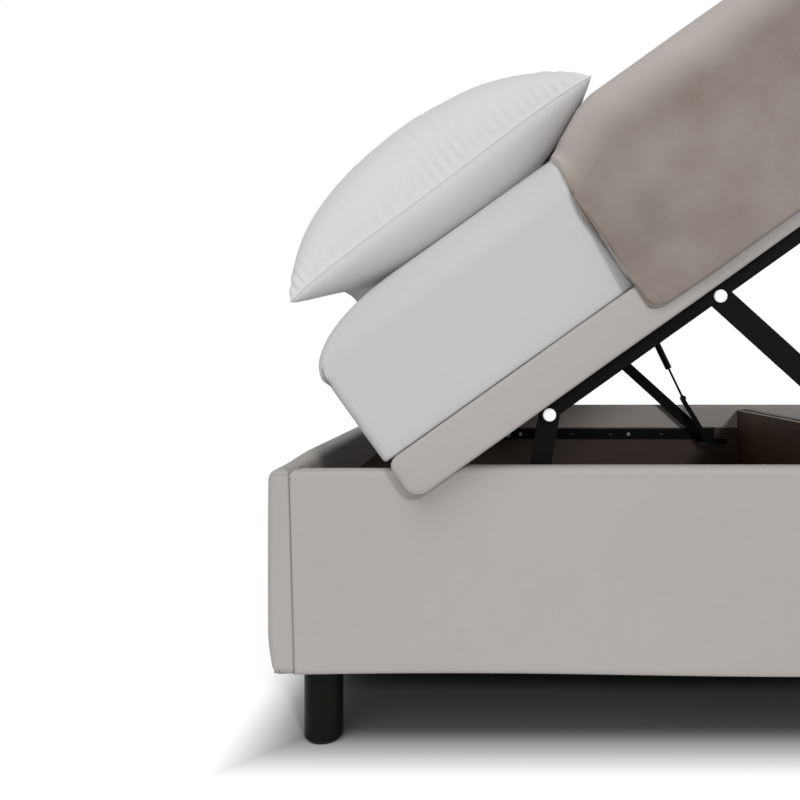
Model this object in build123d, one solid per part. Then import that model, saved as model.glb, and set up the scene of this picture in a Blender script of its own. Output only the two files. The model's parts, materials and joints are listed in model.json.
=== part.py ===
from build123d import *
import os
from math import atan2, cos, degrees, hypot, radians, sin

os.makedirs("parts", exist_ok=True)

# An upholstered storage bed whose mattress platform lifts at the foot end.
# Millimetres. X runs from the head end to the foot end, Y from the right side
# to the left side, Z up. The origin is on the floor under the box's middle.
# Everything is drawn with the platform raised; the closed bed is a joint limit.

# Storage box
bed_length = 2040.0
box_width = 1582.0
box_clear_height = 112.0
panel_height = 303.0
panel_padding = 10.0
board_thickness = 23.0
lining_thickness = 3.0
fold_drop = 80.0
shoulder_radius = 10.0

# Floor of the box
floor_thickness = 12.0
batten_height = 28.0
batten_width = 40.0
centre_beam_width = 60.0
cross_batten_count = 3

# Divider across the storage space
divider_face = 1197.0
divider_thickness = 18.0
divider_height = 257.0
cleat_size = 20.0
divider_rail_size = 25.0
divider_rail_wall = 3.0

# Legs
leg_radius = 29.0
leg_inset_length = 73.7
leg_inset_width = 50.0
leg_plate_length = 90.0
leg_plate_width = 60.0
leg_plate_thickness = 3.0
leg_edge = 1.5
glide_radius = 25.0
glide_thickness = 4.0
stud_radius = 5.0
stud_length = 20.0
centre_leg_share = 0.34

# Corner brackets and bolts
bracket_leg = 60.0
bracket_thickness = 4.0
bracket_height = 60.0
bracket_rise = 70.0
bolt_radius = 3.0
bolt_length = 22.0
bolt_head_radius = 6.0
bolt_head_height = 3.5
hole_clearance = 0.3

# Base rail of the lift, on the side wall
base_pivot_inset = 385.4
base_pivot_height = 313.0
base_pivot_spacing = 679.0
base_rail_height = 35.0
base_rail_thickness = 5.0
base_rail_lead = 50.0
pivot_plate_length = 62.0
pivot_plate_lead = 13.0
pivot_plate_height = 42.0
pivot_plate_thickness = 5.0
slot_length = 16.0
slot_width = 7.0
slot_place_shares = (0.337, 0.535, 0.800, 1.038)
screw_place_shares = (0.065, 0.626)

# Levers and their pivots
front_lever_length = 177.0
front_lever_angle = 80.2
front_lever_width = 32.0
rear_lever_width = 36.0
lever_thickness = 5.0
lever_side_gap = 5.0
pivot_radius = 6.0
running_gap = 0.08
pivot_face_gap = 0.4
pivot_head_radius = 9.0
pivot_head_height = 3.0
spacer_radius = 11.0
cap_radius = 9.8
cap_height = 4.0

# Raised platform
platform_tilt = 35.4419
upper_pivot_inset = 229.0
upper_pivot_drop = 18.5
upper_pivot_spacing = 314.6
rear_pivot_step = 3.6
side_rail_gap = 4.0
side_rail_height = 67.0
side_rail_thickness = 25.0
rail_padding = 5.0
rail_end_radius = 18.0
rail_edge_radius = 4.0
end_rail_rise = 8.0
side_gap = 5.0

# Steel rail of the lift, under the platform
lift_rail_height = 40.0
lift_rail_drop = 27.0
lift_rail_wall = 4.0
lift_rail_flange = 30.0
lift_rail_length = 920.0
rail_lever_gap = 1.0

# Deck frame
side_tube_width = 30.0
side_tube_height = 40.0
tube_wall = 2.0
cross_tube_shares = (0.0, 0.31, 0.53, 0.765, 1.0)
outrigger_length = 40.0
outrigger_height = 30.0
outrigger_wall = 2.0
outrigger_shares = (0.075, 0.245, 0.415, 0.59, 0.76, 0.935)

# Slats
slat_count = 14
slat_width = 63.0
slat_thickness = 8.0
slat_seat = 3.0
holder_wall = 2.5
holder_length = 26.0
holder_fit = 0.3

# Gas springs
spring_eye_inset = 729.3
spring_eye_drop = 46.0
spring_foot_offset = 604.0
spring_foot_rise = 129.0
spring_side_inset = 62.0
cylinder_radius = 11.0
cylinder_length = 233.0
cylinder_wall = 2.0
rod_radius = 4.0
rod_length = 145.0
piston_height = 10.0
spring_eye_radius = 10.0
spring_eye_width = 10.0
spring_neck = 4.5
spring_pin_radius = 4.0
spring_face_gap = 1.0
spring_plate_thickness = 4.0
spring_ear_width = 34.0
spring_post_width = 16.0
post_foot_length = 94.0
post_shelf_length = 30.0
post_heel_lead = 30.0
post_foot_drop = 8.0

# Mattress, pillows and throw
mattress_start = -8.0
mattress_length = 2000.0
mattress_width = 1600.0
mattress_thickness = 230.0
mattress_corner = 25.0
mattress_end_inset = 100.0
mattress_side_inset = 45.0
mattress_shares = ((0.0, 0.10), (0.03, 0.06), (0.12, 0.0), (0.75, 0.0), (0.84, 0.11), (0.90, 0.29),
                   (0.95, 0.57), (1.0, 1.0))
pillow_length = 530.0
pillow_width = 680.0
pillow_inset = 25.0
pillow_side_inset = 12.0
pillow_thickness = 215.0
pillow_draw_in = 24.0
pillow_shares = ((0.0, 0.40, -0.4), (0.05, 0.56, -0.1), (0.13, 0.78, 0.5), (0.26, 1.0, 1.0), (0.40, 0.965, 0.8),
                 (0.55, 0.90, 0.5), (0.70, 0.80, 0.2), (0.82, 0.68, -0.1), (0.91, 0.53, -0.2), (0.97, 0.36, -0.2),
                 (1.0, 0.18, -0.1))
throw_start = 440.0
throw_thickness = 15.0
throw_loft = 30.0
throw_ramp = 90.0
throw_hang = 43.0
throw_edge_radius = 28.0
soft_gap = 0.4

# Cuts run this far past the faces that they open
overrun = 2.0

# Places that follow from the driving dimensions
half_length = bed_length / 2
half_width = box_width / 2
panel_thickness = panel_padding + board_thickness + lining_thickness
inner_half_length = half_length - panel_thickness
inner_half_width = half_width - panel_thickness
board_half_width = half_width - panel_padding
box_bottom = box_clear_height
box_top = box_bottom + panel_height
fold_edge = box_top - fold_drop
floor_bottom = box_bottom + batten_height
floor_top = floor_bottom + floor_thickness
divider_x = -half_length + divider_face
divider_top = floor_top + divider_height - floor_thickness

base_front = (-half_length + base_pivot_inset, base_pivot_height)
base_rear = (base_front[0] + base_pivot_spacing, base_pivot_height)
upper_front = (base_front[0] + front_lever_length * cos(radians(front_lever_angle)),
               base_front[1] + front_lever_length * sin(radians(front_lever_angle)))

# Planes across the bed, counted outwards from its middle
rail_face = inner_half_width - base_rail_thickness
plate_face = rail_face - pivot_plate_thickness
lever_outer = plate_face - lever_side_gap
lever_inner = lever_outer - lever_thickness
lift_rail_inner = lever_outer + rail_lever_gap
lift_rail_outer = lift_rail_inner + lift_rail_wall
spring_plane = inner_half_width - spring_side_inset
spring_plate_inner = spring_plane + cylinder_radius + spring_face_gap
spring_plate_outer = spring_plate_inner + spring_plate_thickness

# Half widths of the padded side rails, which pass outside the box
platform_inner = half_width + side_rail_gap
platform_outer = platform_inner + side_rail_thickness

# The platform's own frame: X from its head end, Z from the underside of its side rails
lift_rail_bottom = -lift_rail_drop
lift_rail_top = lift_rail_bottom + lift_rail_height
tube_bottom = lift_rail_top
tube_top = tube_bottom + side_tube_height
tube_outer = inner_half_width - side_gap
tube_inner = tube_outer - side_tube_width
front_eye = (upper_pivot_inset, -upper_pivot_drop)
rear_eye = (upper_pivot_inset + upper_pivot_spacing, -upper_pivot_drop - rear_pivot_step)
spring_eye = (spring_eye_inset, -spring_eye_drop)
mattress_end = mattress_start + mattress_length
mattress_bottom = side_rail_height + soft_gap
mattress_top = mattress_bottom + mattress_thickness
platform_place = (Pos(upper_front[0], 0, upper_front[1]) * Rot(0, -platform_tilt, 0)
                  * Pos(-front_eye[0], 0, -front_eye[1]))


def raised(point):
    """Where a point of the platform's own frame lies in the raised bed."""
    spot = platform_place * Pos(point[0], 0, point[1])
    return spot.position.X, spot.position.Z


upper_rear = raised(rear_eye)
spring_top = raised(spring_eye)
spring_foot = (base_front[0] + spring_foot_offset, base_front[1] + spring_foot_rise)


def block(x0, x1, y0, y1, z0, z1):
    """A rectangular solid between two corners."""
    return Pos((x0 + x1) / 2, (y0 + y1) / 2, (z0 + z1) / 2) * Box(x1 - x0, y1 - y0, z1 - z0)


def across(outline, y_from, length):
    """An outline drawn in X and Z, thickened from y_from outwards to the right side."""
    return Pos(0, -y_from, 0) * extrude(Plane.XZ * outline, length)


def cross_bar(centre, radius, y_from, length):
    """A cylinder along Y, from y_from outwards to the right side."""
    return across(Pos(centre[0], centre[1]) * Circle(radius), y_from, length)


def flat_link(start, end, width, y_from, thickness):
    """A flat bar with round ends between two pivots."""
    run = (end[0] - start[0], end[1] - start[1])
    middle = Pos((start[0] + end[0]) / 2, (start[1] + end[1]) / 2)
    outline = middle * Rot(0, 0, degrees(atan2(run[1], run[0]))) * SlotCenterToCenter(hypot(*run), width)
    return across(outline, y_from, thickness)


def tube(x0, x1, y0, y1, z0, z1, wall, along):
    """A rectangular tube whose bore runs along X or Y."""
    if along == "X":
        bore = block(x0 - overrun, x1 + overrun, y0 + wall, y1 - wall, z0 + wall, z1 - wall)
    else:
        bore = block(x0 + wall, x1 - wall, y0 - overrun, y1 + overrun, z0 + wall, z1 - wall)
    return block(x0, x1, y0, y1, z0, z1) - bore


def other_side(solid):
    """The same piece on the left side of the bed."""
    return mirror(solid, about=Plane.XZ)


def other_end(solid):
    """The same piece at the foot end of the bed."""
    return mirror(solid, about=Plane.YZ)


def both_sides(solids):
    """Right and left copies of some pieces."""
    return list(solids) + [other_side(solid) for solid in solids]


def all_corners(solid):
    """A piece at each corner of the box."""
    pair = [solid, other_end(solid)]
    return pair + [other_side(piece) for piece in pair]


def save(name, solids):
    """Write one sub-part, made of one solid or of several separate ones."""
    pieces = solids if isinstance(solids, list) else [solids]
    bodies = [body for piece in pieces for body in piece.solids()]
    export_step(bodies[0] if len(bodies) == 1 else Compound(bodies), f"parts/{name}.step")


def save_raised(name, solids):
    """Write one sub-part of the platform, moved from the platform's frame to the raised bed."""
    pieces = solids if isinstance(solids, list) else [solids]
    save(name, [platform_place * piece for piece in pieces])


# Places of the bolts and screws that enter the panels
bracket_bolt_height = floor_top + bracket_rise + bracket_height / 2
bracket_bolt_step = bracket_thickness + (bracket_leg - bracket_thickness) / 2
side_bolt_x = inner_half_length - bracket_bolt_step
end_bolt_y = inner_half_width - bracket_bolt_step
screw_places = [base_front[0] + share * base_pivot_spacing for share in screw_place_shares]


def side_bolt(x, z, face, radius, spare):
    """The shank of a bolt that enters the right side panel from the inside."""
    return cross_bar((x, z), radius, face - spare, bolt_length + 2 * spare)


def end_bolt(y, z, face, radius, spare):
    """The shank of a bolt that enters the head panel from the inside."""
    shank = Rot(0, 90, 0) * Cylinder(radius, bolt_length + 2 * spare)
    return Pos(-face - bolt_length / 2, y, z) * shank


def side_panel_holes():
    """Everything that is bored into the right side panel."""
    bore = bolt_radius + hole_clearance
    face = inner_half_width - bracket_thickness
    holes = [side_bolt(x, bracket_bolt_height, face, bore, hole_clearance) for x in (-side_bolt_x, side_bolt_x)]
    holes += [side_bolt(x, base_pivot_height, rail_face, bore, hole_clearance) for x in screw_places]
    return holes


def head_panel_holes():
    """Everything that is bored into the head panel."""
    bore = bolt_radius + hole_clearance
    face = inner_half_length - bracket_thickness
    return [end_bolt(y, bracket_bolt_height, face, bore, hole_clearance) for y in (-end_bolt_y, end_bolt_y)]


def cut_all(solid, cutters):
    """A solid with every cutter taken out of it."""
    for cutter in cutters:
        solid -= cutter
    return solid


def side_panel():
    """Board, padded cover and lining of the right side panel."""
    ends = (-inner_half_length, inner_half_length)
    board_out = -half_width + panel_padding
    board_in = board_out + board_thickness
    board = block(*ends, board_out, board_in, box_bottom, box_top - panel_padding)
    lining = block(*ends, board_in, -inner_half_width, box_bottom, fold_edge)
    cover = block(*ends, -half_width, -inner_half_width, box_bottom, box_top)
    long_edges = cover.faces().sort_by(Axis.Z)[-1].edges().filter_by(Axis.X)
    cover = fillet(long_edges, shoulder_radius)
    space = (ends[0] - overrun, ends[1] + overrun)
    cover -= block(*space, board_out, board_in, box_bottom - overrun, box_top - panel_padding)
    cover -= block(*space, board_in, -inner_half_width + overrun, box_bottom - overrun, fold_edge)
    return [cut_all(layer, side_panel_holes()) for layer in (board, cover, lining)]


def head_panel():
    """Board, padded cover and lining of the head panel, which closes the ends of the side panels."""
    board_out = -half_length + panel_padding
    board_in = board_out + board_thickness
    ends = (-board_half_width, board_half_width)
    board = block(board_out, board_in, *ends, box_bottom, box_top - panel_padding)
    lining = block(board_in, -inner_half_length, *ends, box_bottom, fold_edge)
    cover = block(-half_length, -inner_half_length, -half_width, half_width, box_bottom, box_top)
    rim = cover.faces().sort_by(Axis.Z)[-1].edges() + cover.edges().filter_by(Axis.Z).group_by(Axis.X)[0]
    cover = fillet(rim, shoulder_radius)
    cover -= block(board_out, board_in, *ends, box_bottom - overrun, box_top - panel_padding)
    cover -= block(board_in, -inner_half_length + overrun, *ends, box_bottom - overrun, fold_edge)
    return [cut_all(layer, head_panel_holes()) for layer in (board, cover, lining)]


leg_x = half_length - leg_inset_length
leg_y = half_width - leg_inset_width
centre_leg_x = centre_leg_share * half_length
corner_leg_places = [(x, y) for y in (-leg_y, leg_y) for x in (-leg_x, leg_x)]
centre_leg_places = [(-centre_leg_x, 0), (centre_leg_x, 0)]


def stud_hole(x, y):
    """The clearance hole of one leg's stud, through plate and batten."""
    depth = stud_length + leg_plate_thickness + hole_clearance
    middle = box_bottom - leg_plate_thickness + depth / 2
    return Pos(x, y, middle) * Cylinder(stud_radius + hole_clearance, depth)


def leg(x, y):
    """A turned leg with the threaded stud on its top."""
    bottom = glide_thickness
    top = box_bottom - leg_plate_thickness
    column = Pos(x, y, (bottom + top) / 2) * Cylinder(leg_radius, top - bottom)
    column = chamfer(column.edges().filter_by(GeomType.CIRCLE), leg_edge)
    stud_top = top + stud_length
    return column + Pos(x, y, (top + stud_top) / 2) * Cylinder(stud_radius, stud_top - top)


def leg_plate(x, y):
    """The steel plate between a leg and the box."""
    plate = block(x - leg_plate_length / 2, x + leg_plate_length / 2,
                  y - leg_plate_width / 2, y + leg_plate_width / 2,
                  box_bottom - leg_plate_thickness, box_bottom)
    return plate - stud_hole(x, y)


def glide(x, y):
    """The disc under a leg."""
    return Pos(x, y, glide_thickness / 2) * Cylinder(glide_radius, glide_thickness)


def floor_battens():
    """Side ledgers, centre beam and cross battens under the floor boards."""
    ledger = block(-inner_half_length, inner_half_length, -inner_half_width, -inner_half_width + batten_width,
                   box_bottom, floor_bottom)
    ledger = cut_all(ledger, [stud_hole(x, -leg_y) for x in (-leg_x, leg_x)])
    beam_half = centre_beam_width / 2
    beam = block(-inner_half_length, inner_half_length, -beam_half, beam_half, box_bottom, floor_bottom)
    beam = cut_all(beam, [stud_hole(x, y) for x, y in centre_leg_places])
    pieces = both_sides([ledger]) + [beam]
    pitch = 2 * inner_half_length / (cross_batten_count + 1)
    for number in range(cross_batten_count):
        x = -inner_half_length + (number + 1) * pitch
        cross = block(x - batten_width / 2, x + batten_width / 2, -inner_half_width + batten_width, -beam_half,
                      box_bottom, floor_bottom)
        pieces += both_sides([cross])
    return pieces


def floor_board(x0, x1):
    """One of the two boards that the storage stands on."""
    return block(x0, x1, -inner_half_width, inner_half_width, floor_bottom, floor_top)


def divider_pieces():
    """The board across the storage space, its cleats and the steel angle along its top."""
    back = divider_x + divider_thickness
    board = block(divider_x, back, -inner_half_width, inner_half_width, floor_top, divider_top)
    cleat_top = divider_top - divider_rail_size - divider_rail_wall
    cleat = block(back, back + cleat_size, -inner_half_width, -inner_half_width + cleat_size, floor_top, cleat_top)
    upright = block(back, back + divider_rail_wall, -inner_half_width, inner_half_width,
                    divider_top - divider_rail_size, divider_top + divider_rail_wall)
    shelf = block(back, back + divider_rail_size, -inner_half_width, inner_half_width,
                  divider_top, divider_top + divider_rail_wall)
    return board, both_sides([cleat]), upright + shelf


def corner_bracket():
    """The steel angle inside the right head corner."""
    x0, y0 = -inner_half_length, -inner_half_width
    z0 = floor_top + bracket_rise
    angle = block(x0, x0 + bracket_thickness, y0, y0 + bracket_leg, z0, z0 + bracket_height)
    angle += block(x0, x0 + bracket_leg, y0, y0 + bracket_thickness, z0, z0 + bracket_height)
    bore = bolt_radius + hole_clearance
    side_face = inner_half_width - bracket_thickness
    end_face = inner_half_length - bracket_thickness
    angle -= side_bolt(-side_bolt_x, bracket_bolt_height, side_face, bore, hole_clearance)
    return angle - end_bolt(-end_bolt_y, bracket_bolt_height, end_face, bore, hole_clearance)


def bolt(x, z, face):
    """A bolt with its head on the inside of the right side wall."""
    head = cross_bar((x, z), bolt_head_radius, face - bolt_head_height, bolt_head_height)
    return head + side_bolt(x, z, face, bolt_radius, 0)


def corner_bolts():
    """Two bolts for each corner bracket."""
    side = bolt(-side_bolt_x, bracket_bolt_height, inner_half_width - bracket_thickness)
    face = inner_half_length - bracket_thickness
    head = Rot(0, 90, 0) * Cylinder(bolt_head_radius, bolt_head_height)
    end = Pos(-face + bolt_head_height / 2, -end_bolt_y, bracket_bolt_height) * head
    end += end_bolt(-end_bolt_y, bracket_bolt_height, face, bolt_radius, 0)
    return all_corners(side) + all_corners(end)


def base_rail():
    """The slotted steel bar on the right wall with its two pivot plates."""
    end = base_rear[0] - pivot_plate_lead + pivot_plate_length
    half = base_rail_height / 2
    rail = block(base_front[0] - base_rail_lead, end, -inner_half_width, -rail_face,
                 base_pivot_height - half, base_pivot_height + half)
    plate_half = pivot_plate_height / 2
    for x0 in (base_front[0] - base_rail_lead, end - pivot_plate_length):
        rail += block(x0, x0 + pivot_plate_length, -rail_face, -plate_face,
                      base_pivot_height - plate_half, base_pivot_height + plate_half)
    depth = inner_half_width - plate_face + 2 * overrun
    for share in slot_place_shares:
        x = base_front[0] + share * base_pivot_spacing
        rail -= across(Pos(x, base_pivot_height) * SlotOverall(slot_length, slot_width), plate_face - overrun, depth)
    for x in screw_places:
        rail -= cross_bar((x, base_pivot_height), bolt_radius + hole_clearance, plate_face - overrun, depth)
    for centre in (base_front, base_rear):
        rail -= cross_bar(centre, pivot_radius + running_gap, plate_face - overrun, depth)
    return rail


def base_pin(centre, passes_lever):
    """A pin that stands on the base rail; the rear one stops just short of its lever."""
    spacer_end = lever_outer + pivot_face_gap
    pin = cross_bar(centre, pivot_radius, spacer_end, inner_half_width - spacer_end)
    pin += cross_bar(centre, spacer_radius, spacer_end, plate_face - spacer_end)
    if passes_lever:
        shaft_end = lever_inner - pivot_face_gap
        pin += cross_bar(centre, pivot_radius, shaft_end, spacer_end - shaft_end)
        pin += cross_bar(centre, pivot_head_radius, shaft_end - pivot_head_height, pivot_head_height)
    return pin


def spring_post():
    """The leaning bracket on the base rail that carries the gas spring's lower end."""
    foot_top = base_pivot_height - pivot_plate_height / 2
    foot_bottom = foot_top - post_foot_drop
    x0 = base_rear[0] - pivot_plate_lead
    x1 = x0 + post_foot_length
    shelf = block(x1 - post_shelf_length, x1, -inner_half_width, -spring_plate_inner,
                  foot_bottom, foot_bottom + spring_plate_thickness)
    back = block(x0, x1, -inner_half_width, -rail_face, foot_bottom, base_pivot_height - base_rail_height / 2)
    heel = (x0 + post_heel_lead, foot_bottom + spring_post_width / 2)
    arm = flat_link(heel, spring_foot, spring_post_width, spring_plate_inner, spring_plate_thickness)
    web = block(heel[0], x1, -spring_plate_outer, -spring_plate_inner, foot_bottom, foot_bottom + spring_post_width)
    stud_end = spring_plane + spring_eye_width / 2 + pivot_face_gap
    stud = cross_bar(spring_foot, spring_pin_radius, stud_end, spring_plate_inner - stud_end)
    return shelf + back + web + arm + stud


def front_lever():
    """The short lever near the head end, with a bored hole at each pivot."""
    lever = flat_link(base_front, upper_front, front_lever_width, lever_inner, lever_thickness)
    for centre in (base_front, upper_front):
        lever -= cross_bar(centre, pivot_radius + running_gap, lever_inner - overrun, lever_thickness + 2 * overrun)
    return lever


def rear_lever():
    """The long lever; its lower pivot is a riveted head that meets the base rail's spacer."""
    lever = flat_link(upper_rear, base_rear, rear_lever_width, lever_inner, lever_thickness)
    lever -= cross_bar(upper_rear, pivot_radius + running_gap, lever_inner - overrun, lever_thickness + 2 * overrun)
    return lever + cross_bar(base_rear, pivot_head_radius, lever_inner - pivot_head_height, pivot_head_height)


def platform_pin(eye):
    """A pin of the lift rail that a lever turns on, in the platform's frame."""
    inner_end = lever_inner - pivot_face_gap
    pin = cross_bar(eye, pivot_radius, inner_end, lift_rail_outer - inner_end)
    return pin + cross_bar(eye, pivot_head_radius, inner_end - pivot_head_height, pivot_head_height)


def pivot_cap(eye):
    """The domed cap over a pin's outer end, in the platform's frame."""
    cap = cross_bar(eye, cap_radius, lift_rail_outer, cap_height)
    rim = cap.edges().filter_by(GeomType.CIRCLE).sort_by(Axis.Y)[0]
    return fillet(rim, cap_height / 2)


def lift_rail():
    """The steel angle under the platform, in the platform's frame."""
    start = front_eye[0]
    end = start + lift_rail_length
    web = block(start, end, -lift_rail_outer, -lift_rail_inner, lift_rail_bottom, lift_rail_top)
    nose_radius = front_eye[1] - lift_rail_bottom
    nose = cross_bar(front_eye, pivot_head_radius + lift_rail_wall, lift_rail_inner, lift_rail_wall)
    web = web + (nose & block(start - cap_radius * 2, start, -lift_rail_outer, -lift_rail_inner,
                              front_eye[1] - nose_radius, lift_rail_top))
    flange = block(start, end, -lift_rail_outer, -lift_rail_outer + lift_rail_flange,
                   lift_rail_top - lift_rail_wall, lift_rail_top)
    rail = web + flange
    for eye in (front_eye, rear_eye):
        rail -= cross_bar(eye, pivot_radius + running_gap, lift_rail_inner - overrun, lift_rail_wall + 2 * overrun)
    return rail


def spring_bracket():
    """The ear under the lift rail that the gas spring's upper eye turns on."""
    x, z = spring_eye
    plate_top = lift_rail_top - lift_rail_wall
    shelf = block(x - spring_ear_width / 2, x + spring_ear_width / 2, -lift_rail_inner, -spring_plate_inner,
                  plate_top - spring_plate_thickness, plate_top)
    ear_head = block(x - spring_ear_width / 2, x + spring_ear_width / 2, -spring_plate_outer, -spring_plate_inner,
                     lift_rail_bottom, plate_top)
    ear = flat_link((x, lift_rail_bottom), (x, z), 2 * spring_eye_radius, spring_plate_inner, spring_plate_thickness)
    pin_end = spring_plane - spring_eye_width / 2 - pivot_face_gap
    pin = cross_bar((x, z), spring_pin_radius, pin_end, spring_plate_inner - pin_end)
    head = cross_bar((x, z), spring_eye_radius - cylinder_wall, pin_end - cylinder_wall, cylinder_wall)
    return shelf + ear_head + ear + pin + head


spring_run = (spring_foot[0] - spring_top[0], spring_foot[1] - spring_top[1])
spring_length = hypot(*spring_run)
spring_turn = degrees(atan2(spring_run[0], spring_run[1]))
spring_place = Pos(spring_top[0], -spring_plane, spring_top[1]) * Rot(0, spring_turn, 0)


def along_spring(radius, start, end):
    """A round piece on the spring's own axis, measured from its upper eye."""
    return Pos(0, 0, (start + end) / 2) * Cylinder(radius, end - start)


def eye_disc(distance):
    """The flat eye at one end of a gas spring, in the spring's own frame."""
    disc = Rot(90, 0, 0) * Cylinder(spring_eye_radius, spring_eye_width)
    return Pos(0, 0, distance) * disc


def gas_cylinder():
    """The pressure tube with its upper eye; the rod slides in its lower end."""
    shoulder = spring_eye_radius + spring_neck
    body = along_spring(cylinder_radius, shoulder, cylinder_length) + eye_disc(0)
    body += along_spring(spring_neck, 0, shoulder)
    body -= along_spring(cylinder_radius - cylinder_wall, shoulder + cylinder_wall,
                         cylinder_length - cylinder_radius)
    body -= along_spring(rod_radius + running_gap, cylinder_length - cylinder_radius - overrun,
                         cylinder_length + overrun)
    bore = Rot(90, 0, 0) * Cylinder(spring_pin_radius + running_gap, spring_eye_width + 2 * overrun)
    return spring_place * (body - bore)


def gas_rod():
    """The rod with its piston and its lower eye."""
    top = spring_length - rod_length
    rod = along_spring(rod_radius, top, spring_length)
    rod += along_spring(cylinder_radius - cylinder_wall - running_gap, top, top + piston_height)
    rod += along_spring(spring_neck, spring_length - spring_eye_radius - spring_neck, spring_length)
    return spring_place * (rod + eye_disc(spring_length))


def side_rail():
    """Board and padded cover of the platform's right side rail, in the platform's frame."""
    outer, inner = platform_outer, platform_inner
    board = block(rail_end_radius, bed_length - rail_end_radius, -outer + rail_padding, -inner,
                  rail_padding, side_rail_height - rail_padding)
    cover = block(0, bed_length, -outer, -inner, 0, side_rail_height)
    cover = fillet(cover.edges().filter_by(Axis.Y), rail_end_radius)
    cover = fillet(cover.faces().sort_by(Axis.Y)[0].edges(), rail_edge_radius)
    return board, cover - block(rail_end_radius, bed_length - rail_end_radius, -outer + rail_padding,
                                -inner + overrun, rail_padding, side_rail_height - rail_padding)


def end_rail():
    """The padded rail across the platform's head end; it drops between the box's side panels."""
    rail = block(0, side_rail_thickness, -tube_outer, tube_outer, end_rail_rise, side_rail_height)
    return fillet(rail.faces().sort_by(Axis.X)[0].edges(), rail_edge_radius)


frame_start = side_rail_thickness
frame_end = bed_length - side_rail_thickness
frame_length = frame_end - frame_start
cross_tube_places = [frame_start + share * (frame_length - side_tube_width) for share in cross_tube_shares]


def side_tube():
    """The long tube of the deck frame on the right side."""
    return tube(frame_start, frame_end, -tube_outer, -tube_inner, tube_bottom, tube_top, tube_wall, "X")


def cross_tubes():
    """The tubes that join the two side tubes."""
    return [tube(x, x + side_tube_width, -tube_inner, tube_inner, tube_bottom, tube_top, tube_wall, "Y")
            for x in cross_tube_places]


def centre_tubes():
    """The lengths of tube along the middle, between the cross tubes."""
    half = side_tube_width / 2
    spans = zip(cross_tube_places[:-1], cross_tube_places[1:])
    return [tube(x0 + side_tube_width, x1, -half, half, tube_bottom, tube_top, tube_wall, "X") for x0, x1 in spans]


def outriggers():
    """Short tubes over the box's side wall, from the deck frame out to the side rail."""
    low = (tube_bottom + tube_top - outrigger_height) / 2
    pieces = []
    for share in outrigger_shares:
        x = share * bed_length
        pieces.append(tube(x - outrigger_length / 2, x + outrigger_length / 2, -platform_inner, -tube_outer,
                           low, low + outrigger_height, outrigger_wall, "Y"))
    return both_sides(pieces)


slat_bottom = tube_top + slat_seat
slat_start = frame_start + side_tube_width
slat_pitch = (frame_length - 2 * side_tube_width) / slat_count
slat_places = [slat_start + (number + 1 / 2) * slat_pitch for number in range(slat_count)]
slat_outer = tube_outer - holder_wall
slat_inner = holder_wall


def slats():
    """Two rows of sprung slats, from the side tubes to the centre tube."""
    row = [block(x - slat_width / 2, x + slat_width / 2, -slat_outer, -slat_inner,
                 slat_bottom, slat_bottom + slat_thickness) for x in slat_places]
    return both_sides(row)


def slat_holder(x, y_end, y_mouth):
    """The plastic pocket on one end of a slat."""
    half = slat_width / 2 + holder_fit
    low, high = min(y_end, y_mouth), max(y_end, y_mouth)
    body = block(x - half - holder_wall, x + half + holder_wall, low, high,
                 tube_top, slat_bottom + slat_thickness + holder_fit + holder_wall)
    step = holder_wall if y_end < y_mouth else -holder_wall
    mouth = y_mouth + overrun * (1 if y_end < y_mouth else -1)
    start = y_end + step
    return body - block(x - half, x + half, min(start, mouth), max(start, mouth),
                        slat_bottom - holder_fit, slat_bottom + slat_thickness + holder_fit)


def slat_holders():
    """A pocket on both ends of every slat."""
    row = [slat_holder(x, -tube_outer, -tube_outer + holder_length) for x in slat_places]
    row += [slat_holder(x, 0, -holder_length / 2) for x in slat_places]
    return both_sides(row)


def mattress():
    """A crowned mattress whose edges round in at the top."""
    sections = []
    for height_share, inset_share in mattress_shares:
        length = mattress_length - 2 * inset_share * mattress_end_inset
        width = mattress_width - 2 * inset_share * mattress_side_inset
        outline = RectangleRounded(length, width, mattress_corner)
        sections.append(Pos(0, 0, mattress_bottom + height_share * mattress_thickness) * outline)
    return Pos((mattress_start + mattress_end) / 2, 0, 0) * loft(sections, ruled=True)


def pillow_section(size_share, bow_share):
    """Four arcs between the corners of a pillow; a positive bow draws the sides in."""
    x, y = size_share * pillow_length / 2, size_share * pillow_width / 2
    bow = bow_share * pillow_draw_in
    corners = [(-x, -y), (x, -y), (x, y), (-x, y)]
    middles = [(0, -y + bow), (x - bow, 0), (0, y - bow), (-x + bow, 0)]
    edges = [ThreePointArc(corners[side], middles[side], corners[(side + 1) % 4]) for side in range(4)]
    return make_face(edges)


def pillow():
    """The right pillow, lying on the mattress at the head end."""
    sections = []
    for height_share, size_share, bow_share in pillow_shares:
        height = mattress_top + soft_gap + height_share * pillow_thickness
        sections.append(Pos(0, 0, height) * pillow_section(size_share, bow_share))
    middle_x = pillow_inset + pillow_length / 2
    middle_y = -mattress_width / 2 + pillow_side_inset + pillow_width / 2
    return Pos(middle_x, middle_y, 0) * loft(sections, ruled=True)


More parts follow.
